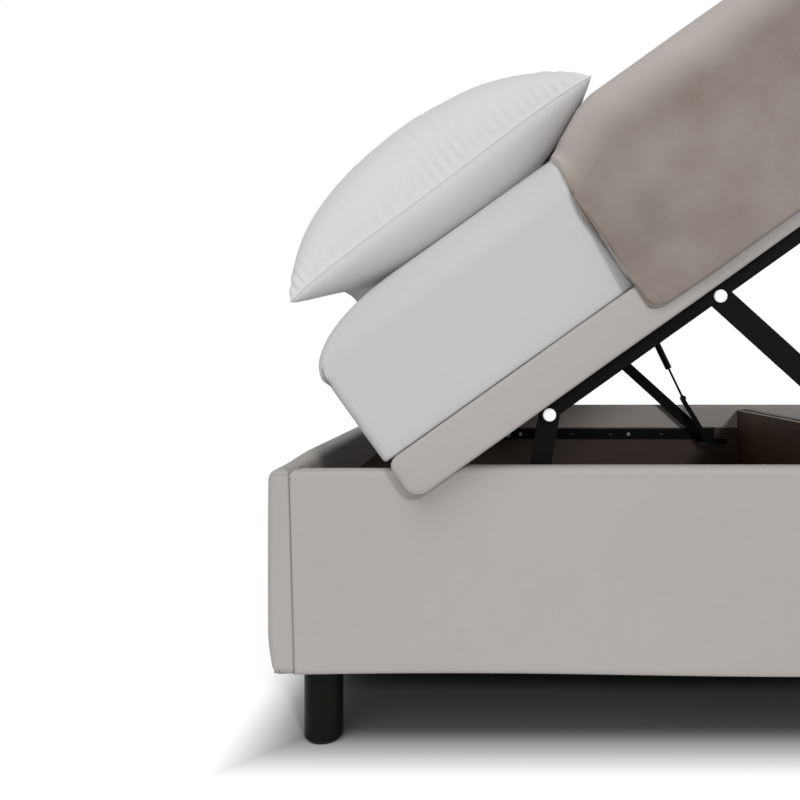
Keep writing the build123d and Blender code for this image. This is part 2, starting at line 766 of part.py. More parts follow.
def throw():
    """The thick throw over the mattress, hanging down both sides and the foot end."""
    outer = platform_outer + soft_gap + throw_thickness
    top = mattress_top + throw_loft
    bottom = side_rail_height - throw_hang
    end = bed_length + soft_gap + throw_thickness
    cloth = block(throw_start, end, -outer, outer, bottom, top)
    rim = cloth.faces().sort_by(Axis.Z)[-1].edges()
    foot_rim = rim.sort_by(Axis.X)[-1]
    cloth = fillet(rim.filter_by(Axis.X) + [foot_rim] + cloth.edges().filter_by(Axis.Z).group_by(Axis.X)[-1],
                   throw_edge_radius)
    start = throw_start - overrun
    ramp = Polyline((start, mattress_top + throw_thickness / 3), (throw_start + throw_ramp, top),
                    (throw_start + throw_ramp, top + overrun), (start, top + overrun), close=True)
    cloth -= across(make_face(ramp), -outer - overrun, 2 * outer + 2 * overrun)
    mattress_side = mattress_width / 2 + soft_gap
    cloth -= block(start, mattress_end + soft_gap, -mattress_side, mattress_side,
                   bottom - overrun, mattress_top + soft_gap)
    rail_side = platform_outer + soft_gap
    return cloth - block(start, bed_length + soft_gap, -rail_side, rail_side,
                         bottom - overrun, side_rail_height + soft_gap)


right_board, right_cover, right_lining = side_panel()
head_board, head_cover, head_lining = head_panel()
for part_name, right_piece in (("panel_board", right_board), ("panel_cover", right_cover),
                               ("lining", right_lining)):
    save(f"right_{part_name}", right_piece)
    save(f"left_{part_name}", other_side(right_piece))
for part_name, head_piece in (("panel_board", head_board), ("panel_cover", head_cover), ("lining", head_lining)):
    save(f"head_{part_name}", head_piece)
    save(f"foot_{part_name}", other_end(head_piece))

save("floor_battens", floor_battens())
save("head_floor_board", floor_board(-inner_half_length, 0))
save("foot_floor_board", floor_board(0, inner_half_length))
divider_board, divider_cleats, divider_rail = divider_pieces()
save("divider_board", divider_board)
save("divider_cleats", divider_cleats)
save("divider_rail", divider_rail)
save("corner_brackets", all_corners(corner_bracket()))
wall_bolts = corner_bolts() + both_sides([bolt(x, base_pivot_height, rail_face) for x in screw_places])
save("wall_bolts", wall_bolts)

for leg_name, (leg_at_x, leg_at_y) in zip(("head_right", "foot_right", "head_left", "foot_left"), corner_leg_places):
    save(f"{leg_name}_leg", leg(leg_at_x, leg_at_y))
all_leg_places = corner_leg_places + centre_leg_places
save("centre_legs", [leg(x, y) for x, y in centre_leg_places])
save("leg_plates", [leg_plate(x, y) for x, y in all_leg_places])
save("leg_glides", [glide(x, y) for x, y in all_leg_places])

for part_name, right_piece in (("base_rail", base_rail()), ("spring_post", spring_post()),
                               ("front_lever", front_lever()), ("rear_lever", rear_lever()),
                               ("gas_cylinder", gas_cylinder()), ("gas_rod", gas_rod())):
    save(f"right_{part_name}", right_piece)
    save(f"left_{part_name}", other_side(right_piece))
save("base_pivot_pins", both_sides([base_pin(base_front, True), base_pin(base_rear, False)]))

rail_board, rail_cover = side_rail()
for part_name, right_piece in (("lift_rail", lift_rail()), ("side_rail_board", rail_board),
                               ("side_rail_cover", rail_cover), ("pillow", pillow())):
    save_raised(f"right_{part_name}", right_piece)
    save_raised(f"left_{part_name}", other_side(right_piece))
head_rail = end_rail()
save_raised("head_end_rail", head_rail)
save_raised("foot_end_rail", Pos(bed_length, 0, 0) * other_end(head_rail))
save_raised("spring_brackets", both_sides([spring_bracket()]))
save_raised("pivot_pins", both_sides([platform_pin(front_eye), platform_pin(rear_eye)]))
save_raised("pivot_caps", both_sides([pivot_cap(front_eye), pivot_cap(rear_eye)]))
save_raised("deck_side_tubes", both_sides([side_tube()]))
save_raised("deck_cross_tubes", cross_tubes() + centre_tubes())
save_raised("rail_outriggers", outriggers())
save_raised("slats", slats())
save_raised("slat_holders", slat_holders())
save_raised("mattress", mattress())
save_raised("throw", throw())

print("base pivots", base_front, base_rear)
print("upper pivots", upper_front, upper_rear)
print("spring eye and foot", spring_top, spring_foot, "length", spring_length)
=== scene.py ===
import json
import math
import bmesh
import bpy
import numpy as np
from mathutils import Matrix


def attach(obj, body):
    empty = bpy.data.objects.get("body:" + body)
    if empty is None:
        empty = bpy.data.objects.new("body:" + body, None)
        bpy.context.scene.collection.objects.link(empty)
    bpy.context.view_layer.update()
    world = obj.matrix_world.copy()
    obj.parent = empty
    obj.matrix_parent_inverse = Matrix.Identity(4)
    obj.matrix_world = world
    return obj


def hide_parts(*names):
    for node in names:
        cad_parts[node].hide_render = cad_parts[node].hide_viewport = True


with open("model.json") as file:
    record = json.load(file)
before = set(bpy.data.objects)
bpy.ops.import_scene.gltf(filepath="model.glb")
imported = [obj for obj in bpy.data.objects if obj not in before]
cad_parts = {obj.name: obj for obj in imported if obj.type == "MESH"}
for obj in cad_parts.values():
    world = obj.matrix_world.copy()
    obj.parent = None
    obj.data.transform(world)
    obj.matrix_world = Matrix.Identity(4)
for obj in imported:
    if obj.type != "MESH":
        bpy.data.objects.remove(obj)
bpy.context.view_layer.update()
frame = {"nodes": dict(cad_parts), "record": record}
nodes = frame["nodes"]
print("frame loaded:", len(nodes), "parts")

# All sizes of the pieces are millimetres. Box pieces use the bed's own frame. Platform pieces are drawn level,
# with X from the platform's head end and Z from the underside of its side rails, and are then tipped up.
platformPlace = {"tilt": 35.4419, "fromX": 229.0, "fromZ": -18.5, "toX": -604.473, "toZ": 487.417}
boxSize = {"halfLength": 1020.0, "halfWidth": 791.0, "bottom": 112.0, "top": 415.0, "wall": 36.0, "padding": 10.0,
           "board": 23.0, "foldEdge": 335.0, "ease": 0.3}
mattressTop = 297.4


def tipped(points):
    # a turn by the tilt about the front pivot, then a shift to where that pivot is on the raised bed
    tilt = math.radians(platformPlace["tilt"])
    dx, dz = points[..., 0] - platformPlace["fromX"], points[..., 2] - platformPlace["fromZ"]
    return np.stack([platformPlace["toX"] + dx * math.cos(tilt) - dz * math.sin(tilt), points[..., 1],
                     platformPlace["toZ"] + dx * math.sin(tilt) + dz * math.cos(tilt)], -1)


def smoothStep(value, low, high):
    # 0 below low, 1 above high, and 3t^2 - 2t^3 between them
    t = np.clip((value - low) / (high - low), 0, 1)
    return t * t * (3 - 2 * t)


def ripple(points, size, seed, waves=9):
    # a sum of plane waves in fixed random directions, each about size long, from -1 to 1
    rng = np.random.default_rng(seed)
    total = 0
    for number in range(waves):
        way = rng.normal(size=3)
        way /= np.linalg.norm(way) * size * (0.6 + 0.9 * rng.random())
        total = total + np.sin(2 * np.pi * (points @ way + rng.random()))
    return total / math.sqrt(waves) / 1.6


def roundedOutline(halfLong, halfShort, radii, longSteps, shortSteps, arcSteps, gather=0.0):
    # round a rectangle in X and Y: a quarter circle at each corner, straight runs between them, whose points
    # lie closer together near the corners by the share gather
    xs, ys, ends = [], [], []
    for number, (sx, sy) in enumerate([(1, 1), (-1, 1), (-1, -1), (1, -1)]):
        r = max(min(radii[number], halfLong, halfShort), 0)
        turn = np.radians(90 * number + np.linspace(0, 90, arcSteps + 1))
        ends.append((sx * (halfLong - r) + r * np.cos(turn), sy * (halfShort - r) + r * np.sin(turn)))
    for number in range(4):
        (x, y), (nextX, nextY) = ends[number], ends[(number + 1) % 4]
        share = np.arange(1, (longSteps, shortSteps)[number % 2]) / (longSteps, shortSteps)[number % 2]
        share = share - gather * np.sin(2 * np.pi * share) / (2 * np.pi)
        xs += [x, x[-1] + share * (nextX[0] - x[-1])]
        ys += [y, y[-1] + share * (nextY[0] - y[-1])]
    return np.stack([np.concatenate(xs), np.concatenate(ys)], -1)


def gridQuads(rows, columns, closed):
    # one face for each cell of a grid of points; closed joins the last column to the first
    index = np.arange(rows * columns).reshape(rows, columns)
    right = np.roll(index, -1, axis=1)
    cells = np.stack([index[:-1], right[:-1], right[1:], index[1:]], -1)
    return (cells if closed else cells[:, :-1]).reshape(-1, 4)


def newObject(name, data):
    thing = bpy.data.objects.new(name, data)
    bpy.context.scene.collection.objects.link(thing)
    return thing


def makePiece(name, local, body, slot, replaced, seamAndPaintedLight=None, quads=None):
    # local is a stack of closed rings, or any points with their own faces. Faces are turned outwards by the sign
    # of the volume; the cloth's UV map is in metres along the piece, laid flat on whichever two axes each face
    # lies nearest to
    quads = gridQuads(*local.shape[:2], True) if quads is None else quads
    local = local.reshape(-1, 3)
    p = local[quads]
    volume = (p[:, 0] * np.cross(p[:, 1], p[:, 2])).sum() + (p[:, 0] * np.cross(p[:, 2], p[:, 3])).sum()
    if volume < 0:
        quads = quads[:, ::-1]
        p = p[:, ::-1]
    world = tipped(local) if body == "platform" else local
    mesh = bpy.data.meshes.new(name)
    mesh.from_pydata((world / 1000).tolist(), [], quads.tolist())
    way = np.abs(np.cross(p[:, 2] - p[:, 0], p[:, 3] - p[:, 1])).argmax(1)
    pair = np.array([[1, 2], [0, 2], [0, 1]])[way]
    flat = np.take_along_axis(p, pair[:, None, :].repeat(4, 1), 2) / 1000
    mesh.uv_layers.new(name="cloth").data.foreach_set("uv", flat.astype(np.float32).ravel())
    mark = mesh.attributes.new("seamAndPaintedLight", "FLOAT", "POINT")
    values = np.zeros(len(local)) if seamAndPaintedLight is None else seamAndPaintedLight.ravel()
    mark.data.foreach_set("value", values.astype(np.float32))
    work = bmesh.new()
    work.from_mesh(mesh)
    bmesh.ops.remove_doubles(work, verts=work.verts, dist=2e-6)
    openEdges = [edge for edge in work.edges if edge.is_boundary]
    if openEdges:
        bmesh.ops.holes_fill(work, edges=openEdges)
    for face in work.faces:
        face.smooth = len(face.verts) < 5
    work.to_mesh(mesh)
    work.free()
    mesh.materials.append(finishes[slot])
    piece = newObject(name, mesh)
    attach(piece, body)
    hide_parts(*replaced)
    print("made", name, len(mesh.polygons), "faces", "closed" if not openEdges else "ends filled")
    return piece


# Materials
def linear(value):
    # an sRGB hex colour as Blender's linear numbers
    parts = [int(value[i:i + 2], 16) / 255 for i in (1, 3, 5)]
    return [c / 12.92 if c <= 0.04045 else ((c + 0.055) / 1.055) ** 2.4 for c in parts] + [1.0]


def addNode(tree, kind, settings=None, links=None, **choices):
    node = tree.nodes.new("ShaderNode" + kind)
    for key, value in choices.items():
        setattr(node, key, value)
    for key, value in (settings or {}).items():
        node.inputs[key].default_value = value
    for key, source in (links or {}).items():
        tree.links.new(source, node.inputs[key])
    return node


def newMaterial(name, sockets):
    material = bpy.data.materials.new(name)
    material.use_nodes = True
    tree = material.node_tree
    shader = tree.nodes["Principled BSDF"]
    for key, value in sockets.items():
        shader.inputs[key].default_value = value
    return material, tree, shader


def wovenCloth(name, look):
    # warp and weft as two crossed bands of the cloth's own UV, uneven yarn from stretched noise,
    # slow tone changes over the piece, and a mark colour: stitched seams a little darker or lighter, painted shade
    # in the sheet's corner darts and a painted highlight on the throw's shoulder
    material, tree, shader = newMaterial(name, look["sockets"])
    uv = addNode(tree, "UVMap", uv_map="cloth")
    place = addNode(tree, "TexCoord")
    thread = 1000 / look["thread"]
    yarn = []
    for way, stretch in (("X", (1, 0.12, 1)), ("Y", (0.12, 1, 1))):
        band = addNode(tree, "TexWave", {"Scale": thread / 20 * math.pi, "Distortion": look["wander"],
                       "Detail": 1.0, "Detail Scale": 0.6}, {"Vector": uv.outputs["UV"]}, bands_direction=way)
        along = addNode(tree, "Mapping", {"Scale": stretch}, {"Vector": uv.outputs["UV"]})
        slub = addNode(tree, "TexNoise", {"Scale": thread * 0.45, "Detail": 2.0},
                       {"Vector": along.outputs["Vector"]})
        yarn.append((band, slub))
    weave = addNode(tree, "Math", None, {0: yarn[0][0].outputs["Fac"], 1: yarn[1][0].outputs["Fac"]},
                    operation="MAXIMUM")
    slubs = addNode(tree, "Math", None, {0: yarn[0][1].outputs["Fac"], 1: yarn[1][1].outputs["Fac"]},
                    operation="ADD")
    patches = addNode(tree, "TexNoise", {"Scale": 1000 / look["patch"], "Detail": 3.0, "Roughness": 0.55},
                      {"Vector": place.outputs["Object"]})
    tone = addNode(tree, "MapRange", {"From Min": 0.3, "From Max": 0.7}, {"Value": patches.outputs["Fac"]})
    slubTone = addNode(tree, "MapRange", {"From Min": 0.75, "From Max": 1.25},
                       {"Value": slubs.outputs["Value"]})
    ground = addNode(tree, "Mix", {6: linear(look["dark"]), 7: linear(look["light"])},
                     {0: tone.outputs["Result"]}, data_type="RGBA")
    yarnTone = addNode(tree, "Mix", {0: look["yarnTone"], 7: linear(look["yarn"])},
                       {6: ground.outputs[2]}, data_type="RGBA")
    threads = addNode(tree, "Mix", None,
                      {0: slubTone.outputs["Result"], 6: ground.outputs[2], 7: yarnTone.outputs[2]}, data_type="RGBA")
    mark = addNode(tree, "Attribute", attribute_name="seamAndPaintedLight", attribute_type="GEOMETRY")
    seamAndPaintedLightColour = addNode(tree, "Mix", {7: linear(look["seamAndPaintedLight"])},
                       {0: mark.outputs["Fac"], 6: threads.outputs[2]}, data_type="RGBA")
    tree.links.new(seamAndPaintedLightColour.outputs[2], shader.inputs["Base Color"])
    soft = addNode(tree, "Bump", {"Strength": 0.5, "Distance": look["yarnBump"] / 1000},
                   {"Height": slubs.outputs["Value"]})
    bump = addNode(tree, "Bump", {"Strength": 0.6, "Distance": look["threadBump"] / 1000},
                   {"Height": weave.outputs["Value"], "Normal": soft.outputs["Normal"]})
    tree.links.new(bump.outputs["Normal"], shader.inputs["Normal"])
    return material


def grainedSolid(name, look):
    # noise stretched along the grain or the rolling direction in Object coordinates, plus fine grit as bump
    material, tree, shader = newMaterial(name, look["sockets"])
    place = addNode(tree, "TexCoord")
    along = addNode(tree, "Mapping", {"Scale": [1000 / size for size in look["grain"]]},
                    {"Vector": place.outputs["Object"]})
    figure = addNode(tree, "TexNoise", {"Scale": 1.0, "Detail": 4.0, "Roughness": 0.6,
                     "Distortion": look["wander"]}, {"Vector": along.outputs["Vector"]})
    tone = addNode(tree, "MapRange", {"From Min": 0.28, "From Max": 0.72}, {"Value": figure.outputs["Fac"]})
    colour = addNode(tree, "Mix", {6: linear(look["dark"]), 7: linear(look["light"])},
                     {0: tone.outputs["Result"]}, data_type="RGBA")
    grit = addNode(tree, "TexNoise", {"Scale": 1000 / look["grit"], "Detail": 2.0},
                   {"Vector": place.outputs["Object"]})
    result = colour.outputs[2]
    if "edgeAbove" in look:  # a sawn edge without foil shows above this height
        where = addNode(tree, "SeparateXYZ", None, {"Vector": place.outputs["Object"]})
        isEdge = addNode(tree, "Math", {1: look["edgeAbove"] / 1000}, {0: where.outputs["Z"]},
                         operation="GREATER_THAN")
        result = addNode(tree, "Mix", {7: linear(look["edge"])}, {0: isEdge.outputs["Value"], 6: result},
                         data_type="RGBA").outputs[2]
    tree.links.new(result, shader.inputs["Base Color"])
    shine = addNode(tree, "MapRange", {"To Min": look["shine"][0], "To Max": look["shine"][1]},
                    {"Value": grit.outputs["Fac"]})
    tree.links.new(shine.outputs["Result"], shader.inputs["Roughness"])
    bump = addNode(tree, "Bump", {"Strength": 0.5, "Distance": look["relief"] / 1000},
                   {"Height": grit.outputs["Fac"]})
    tree.links.new(bump.outputs["Normal"], shader.inputs["Normal"])
    return material


# Polyester upholstery with a linen look, piece dyed: dry and soft, with a trace of fuzz at grazing angles.
# Real threads are 0.8 mm apart, drawn at 2.4 mm so that they show at all.
linenUpholstery = wovenCloth("linenLookUpholstery", {
    "thread": 2.4, "wander": 1.2, "patch": 420, "dark": "#b1adaa", "light": "#b5b1ae", "yarn": "#c3bfba",
    "yarnTone": 0.1, "seamAndPaintedLight": "#86776a", "yarnBump": 0.06, "threadBump": 0.06,
    "sockets": {"Roughness": 0.88, "Specular IOR Level": 0.25, "Sheen Weight": 0.12, "Sheen Roughness": 0.5}})
# Cotton percale fitted sheet: smooth, tight plain weave, pressed. Threads of 0.3 mm are drawn at 1.8 mm.
# Its dark seam colour is painted shade, laid into the sheet's corner darts.
percaleSheet = wovenCloth("cottonPercaleSheet", {
    "thread": 1.8, "wander": 0.6, "patch": 520, "dark": "#c4c4c4", "light": "#c9c9c9", "yarn": "#d2d3d4",
    "yarnTone": 0.12, "seamAndPaintedLight": "#77787a", "yarnBump": 0.03, "threadBump": 0.02,
    "sockets": {"Roughness": 0.72, "Specular IOR Level": 0.3, "Sheen Weight": 0.08, "Sheen Roughness": 0.4}})
# Cotton pillow case, a slightly heavier weave than the sheet.
pillowCotton = wovenCloth("cottonPillowCase", {
    "thread": 1.9, "wander": 0.8, "patch": 300, "dark": "#d6d6d6", "light": "#dcdcdc", "yarn": "#e2e3e3",
    "yarnTone": 0.15, "seamAndPaintedLight": "#dcdddd", "yarnBump": 0.04, "threadBump": 0.03,
    "sockets": {"Roughness": 0.75, "Specular IOR Level": 0.28, "Sheen Weight": 0.1, "Sheen Roughness": 0.45}})
# Brushed velvet: short pile that lies in patches, so the tone drifts between warm and grey.
# Its light seam colour is a painted highlight on the throw's shoulder, where light from above falls.
brushedVelvet = wovenCloth("brushedPolyesterVelvet", {
    "thread": 3.2, "wander": 3.0, "patch": 130, "dark": "#867b72", "light": "#9c928c", "yarn": "#a59c97",
    "yarnTone": 0.12, "seamAndPaintedLight": "#c6beb9", "yarnBump": 0.3, "threadBump": 0.08,
    "sockets": {"Roughness": 0.9, "Specular IOR Level": 0.15, "Sheen Weight": 1.0, "Sheen Roughness": 0.25}})
# Hardboard and chipboard with printed brown foil, rolled: a faint fibre direction and a dull film.
foilHardboard = grainedSolid("foilFacedHardboard", {
    "grain": (90, 12, 4), "wander": 0.4, "dark": "#33261f", "light": "#41322a", "grit": 1.4, "relief": 0.05,
    "shine": (0.5, 0.62), "sockets": {"Specular IOR Level": 0.4}})
# The divider's foil is drawn lighter than the hardboard's: painted light on a face the lamps hardly reach.
foilChipboardPaintedLighter = grainedSolid("foilFacedChipboard", {
    "grain": (6, 160, 5), "wander": 0.4, "dark": "#6a523b", "light": "#80664b", "grit": 1.6, "relief": 0.06,
    "shine": (0.48, 0.6), "edgeAbove": 396.6, "edge": "#9a8c7e", "sockets": {"Specular IOR Level": 0.4}})
# Raw chipboard: pressed wood flakes a few millimetres long.
rawChipboard = grainedSolid("pressedChipboard", {
    "grain": (5, 5, 3), "wander": 1.5, "dark": "#7c6c58", "light": "#a8977d", "grit": 1.2, "relief": 0.25,
    "shine": (0.75, 0.9), "sockets": {"Specular IOR Level": 0.25}})
# Planed pine and birch plywood: long grain, 3 to 6 mm between the rings.
planedPine = grainedSolid("planedPine", {
    "grain": (220, 7, 7), "wander": 0.8, "dark": "#9f7f55", "light": "#c7aa80", "grit": 1.5, "relief": 0.1,
    "shine": (0.55, 0.7), "sockets": {"Specular IOR Level": 0.35}})
birchPly = grainedSolid("lacqueredBirchPly", {
    "grain": (5, 260, 5), "wander": 0.6, "dark": "#b9976a", "light": "#d6bb8f", "grit": 1.8, "relief": 0.05,
    "shine": (0.35, 0.45), "sockets": {"Specular IOR Level": 0.5}})
# Epoxy powder coat on steel, sprayed and baked: near black, satin, with a fine orange peel of about 1 mm.
blackPowderCoat = grainedSolid("blackPowderCoat", {
    "grain": (40, 40, 40), "wander": 0.2, "dark": "#050504", "light": "#080807", "grit": 1.1, "relief": 0.06,
    "shine": (0.42, 0.55), "sockets": {"Specular IOR Level": 0.08}})
frameCoat = grainedSolid("greyBlackPowderCoat", {
    "grain": (60, 60, 60), "wander": 0.2, "dark": "#131314", "light": "#1b1b1d", "grit": 1.2, "relief": 0.07,
    "shine": (0.45, 0.6), "sockets": {"Specular IOR Level": 0.2}})
# Zinc-plated steel, rolled then plated: cool grey with a faint spangle.
zincSteel = grainedSolid("zincPlatedSteel", {
    "grain": (9, 9, 30), "wander": 0.5, "dark": "#7d8083", "light": "#a1a4a7", "grit": 2.0, "relief": 0.03,
    "shine": (0.3, 0.45), "sockets": {"Metallic": 1.0}})
# Ground rod, salt-bath nitrided: almost black, polished, with hair-fine turning marks.
nitridedRod = grainedSolid("nitridedSteelRod", {
    "grain": (12, 12, 12), "wander": 0.1, "dark": "#242527", "light": "#303133", "grit": 0.8, "relief": 0.01,
    "shine": (0.12, 0.2), "sockets": {"Metallic": 1.0}})
# Moulded plastics: white polypropylene caps that glow a little, a painted glow though they are no lamp,
# black ABS legs, glass-filled slat holders and rubber glides.
whiteCapPaintedGlow = grainedSolid("mouldedPolypropyleneCapPaintedGlow", {
    "grain": (12, 12, 12), "wander": 0.1, "dark": "#f4f4f2", "light": "#fbfbf9", "grit": 0.9, "relief": 0.02,
    # the emission is a painted glow, brighter than the light on the caps gives
    "shine": (0.35, 0.45), "sockets": {"Specular IOR Level": 0.5, "Emission Color": (1, 1, 1, 1),
                                        "Emission Strength": 0.4}})
blackAbs = grainedSolid("satinBlackAbs", {
    "grain": (30, 30, 90), "wander": 0.1, "dark": "#0d0d0a", "light": "#12120e", "grit": 0.9, "relief": 0.03,
    "shine": (0.3, 0.4), "sockets": {"Specular IOR Level": 0.12}})
holderPlastic = grainedSolid("mouldedNylonHolder", {
    "grain": (8, 8, 8), "wander": 0.2, "dark": "#161616", "light": "#202020", "grit": 0.8, "relief": 0.05,
    "shine": (0.5, 0.62), "sockets": {"Specular IOR Level": 0.4}})
glideRubber = grainedSolid("mouldedRubberGlide", {
    "grain": (8, 8, 8), "wander": 0.2, "dark": "#101010", "light": "#191919", "grit": 1.0, "relief": 0.06,
    "shine": (0.75, 0.85), "sockets": {"Specular IOR Level": 0.3}})

finishes = {
    "lining": foilHardboard, "panel_board": rawChipboard, "floor_board": foilHardboard, "divider": foilChipboardPaintedLighter,
    "pine": planedPine, "lift_steel": blackPowderCoat, "frame_steel": frameCoat, "zinc": zincSteel,
    "rod_steel": nitridedRod, "cap_plastic": whiteCapPaintedGlow, "leg_plastic": blackAbs, "glide_rubber": glideRubber,
    "slat_birch": birchPly, "holder_plastic": holderPlastic, "upholstery": linenUpholstery,
    "mattress_cover": percaleSheet, "pillow_cotton": pillowCotton, "throw_velvet": brushedVelvet}
for part in frame["record"]["subparts"]:
    piece = nodes[part["node"]]
    if not piece.material_slots:
        piece.data.materials.append(None)
    for place in piece.material_slots:
        place.link = "OBJECT"
        place.material = finishes[part["material_slot"]]
print("materials on", len(nodes), "parts")

# Mattress under its fitted sheet
mattressLook = {"start": -8.0, "length": 2000.0, "halfWidth": 799.0, "bottom": 67.8, "corner": 16.0,
                "endInset": 150.0, "sideInset": 80.0, "roundFrom": 161.4, "underIn": 3.0, "underHigh": 7.0,
                "swell": 1.0, "drag": 0.6, "pleatAt": 219.0, "pleat": 4.2, "pleatHigh": 10, "dart": 2.6,
                "dartWide": 1.9, "dartLean": 0.19}


def crownHeight(y):
    # height of the mattress's top at y: in from the long side a quarter of an ellipse, a little flattened
    share = np.clip((mattressLook["halfWidth"] - np.abs(y)) / mattressLook["sideInset"], 0, 1)
    low = mattressLook["bottom"] + mattressLook["roundFrom"]
    return low + (mattressTop - low) * (1 - (1 - share) ** 2) ** 0.625


def makeMattress(look):
    # rings of a rounded rectangle: rounded under at the bottom, straight up, then over a quarter ellipse
    # (inset by 1 - cos, height by sin^1.25) and on to the middle line
    high = mattressTop - look["bottom"]
    halfLength = look["length"] / 2
    rows = [(look["halfWidth"] * (1 - t),) * 2 + (0.0,) for t in np.linspace(0, 0.97, 8)]
    rows += [(look["underIn"] * (1 - math.sqrt(1 - t * t)),) * 2 + (look["underHigh"] * (1 - t),)
             for t in np.linspace(1, 0, 9)]
    rows += [(0.0, 0.0, z) for z in np.linspace(look["underHigh"] + 4, look["roundFrom"], 44)]
    for turn in np.radians(np.linspace(0, 90, 26)[1:]):
        rows.append((look["endInset"] * (1 - math.cos(turn)), look["sideInset"] * (1 - math.cos(turn)),
                     look["roundFrom"] + (high - look["roundFrom"]) * math.sin(turn) ** 1.25))
    side = look["halfWidth"] - look["sideInset"]
    rows += [(look["endInset"] + t * side, look["sideInset"] + t * side, high)
             for t in np.linspace(0, 1, 14)[1:] ** 1.2]
    rings = []
    for endIn, sideIn, z in rows:
        ring = roundedOutline(halfLength - endIn, look["halfWidth"] - sideIn, [look["corner"] + 0.5 * sideIn] * 4,
                              140, 112, 22, 0.75)
        rings.append(np.column_stack([ring, np.full(len(ring), z)]))
    points = np.stack(rings)
    x, y, z = np.moveaxis(points, -1, 0)
    fromMiddle = x.copy()
    x += look["start"] + halfLength
    z += look["bottom"]
    # the sheet's loose tension: long soft waves on the sides, and a dart at each corner with the cloth
    # bulging over it
    fromEnd = halfLength - np.abs(fromMiddle)
    fromSide = look["halfWidth"] - np.abs(y)
    up = z - look["bottom"]
    onSide = smoothStep(up, 4, 50) * (1 - smoothStep(up, look["roundFrom"] - 10, high - 4))
    pull = ripple(points * np.array([1, 1, 0.35]), 260, 11) + 0.5 * ripple(points * np.array([1, 1, 0.5]), 90, 12)
    swell = (look["swell"] * np.sin(np.pi * np.clip(up / high, 0, 1)) + look["drag"] * pull) * onSide
    level = z - look["pleatAt"]
    atCorner = 1 - smoothStep(fromSide, 22, 30)
    bulge = look["pleat"] * np.exp(-(level / look["pleatHigh"]) ** 2) * (1 - smoothStep(fromEnd, 5, 24)) * atCorner
    along = smoothStep(level, -21, -14) * (1 - smoothStep(level, 8, 16))
    dart = np.exp(-((fromEnd - 1 - look["dartLean"] * (level + 20)) / look["dartWide"]) ** 2) * along * atCorner
    push = swell + bulge - look["dart"] * dart
    facing = np.stack([np.sign(fromMiddle) * (1 - smoothStep(fromEnd, 4, 26)) * (fromEnd < 200),
                       np.sign(y) * (1 - smoothStep(fromSide, 4, 26))], -1)
    points[..., :2] += push[..., None] * facing / np.maximum(np.linalg.norm(facing, axis=-1), 1)[..., None]
    # the dart is also painted darker through the mark attribute: painted shade in the fold
    return makePiece("fittedSheetMattress", points, "platform", "mattress_cover", ["mattress"], 0.8 * dart)


mattressPiece = makeMattress(mattressLook)

# Pillows: two panels sewn along a straight seam, puffed, sides drawn in between the corners. The right part
# lies on the edge of the throw
pillowLook = {"centreX": 289.4, "centreY": -448.0, "halfLength": 276.8, "halfWidth": 342.5, "drawIn": 18.0,
              "headDraw": 42.0, "tip": 0.012, "seamHeight": 47.6, "tilt": 6.8, "arch": 11.1, "endArch": 16.2,
              "headArch": 30.0, "rise": 164.6, "drop": 88.7, "lip": 1.2, "lipThickness": 0.6, "fold": 2.4,
              "crease": 1.6, "soft": 1.6, "pitch": 16.0, "endPitch": 26.0, "gatherHigh": 55.0, "bedGap": 0.9,
              "throwGap": 1.2}
throwLook = {"start": 430.0, "end": 2055.0, "halfWidth": 835.0, "hem": 25.0, "loft": 41.0, "edgeRise": 6.0,
             "rampFrom": 440.0, "rampTo": 560.0, "lean": 8.0, "shoulder": 80.0, "thickness": 11.0,
             "radii": [34, 7, 7, 34], "hemCorner": 32.0, "sway": 1.4, "wave": 2.0, "uneven": 1.6, "edgeFrom": 807.0,
             "edgeReach": 98.0, "edgeLow": 228.0, "edgeThickness": 4.0, "thinner": 9.0, "drawBack": 20.0,
             "shoulderHighlight": 0.9, "edgeGap": 0.9, "bedGap": 0.7}


def throwProfile(x):
    # the shoulder's outer edge, reach, foot and top at x: close round the mattress at the head edge, and from
    # there growing to the full loft
    ramp = smoothStep(x, throwLook["rampFrom"], throwLook["rampTo"])
    pairs = [(throwLook["edgeFrom"], throwLook["halfWidth"] - throwLook["lean"]),
             (throwLook["edgeReach"], throwLook["shoulder"]),
             (throwLook["edgeLow"], mattressTop + throwLook["loft"] - throwLook["shoulder"]),
             (mattressTop + throwLook["edgeRise"], mattressTop + throwLook["loft"]),
             (throwLook["edgeThickness"], throwLook["thickness"])]
    return [first + (last - first) * ramp for first, last in pairs]


def throwTop(x, y):
    # a quarter of an ellipse over the shoulder, then level
    edge, reach, low, top, _ = throwProfile(x)
    share = np.clip((edge - np.abs(y)) / reach, 0, 1)
    return low + (top - low) * (1 - (1 - share) ** 2) ** 0.53


def pushedOut(grid, amount):
    # moves a grid of points along its own normals, the cross product of its two step directions
    normal = np.cross(np.gradient(grid, axis=0), np.gradient(grid, axis=1))
    normal /= np.maximum(np.linalg.norm(normal, axis=-1, keepdims=True), 1e-9)
    return grid + normal * amount[..., None]


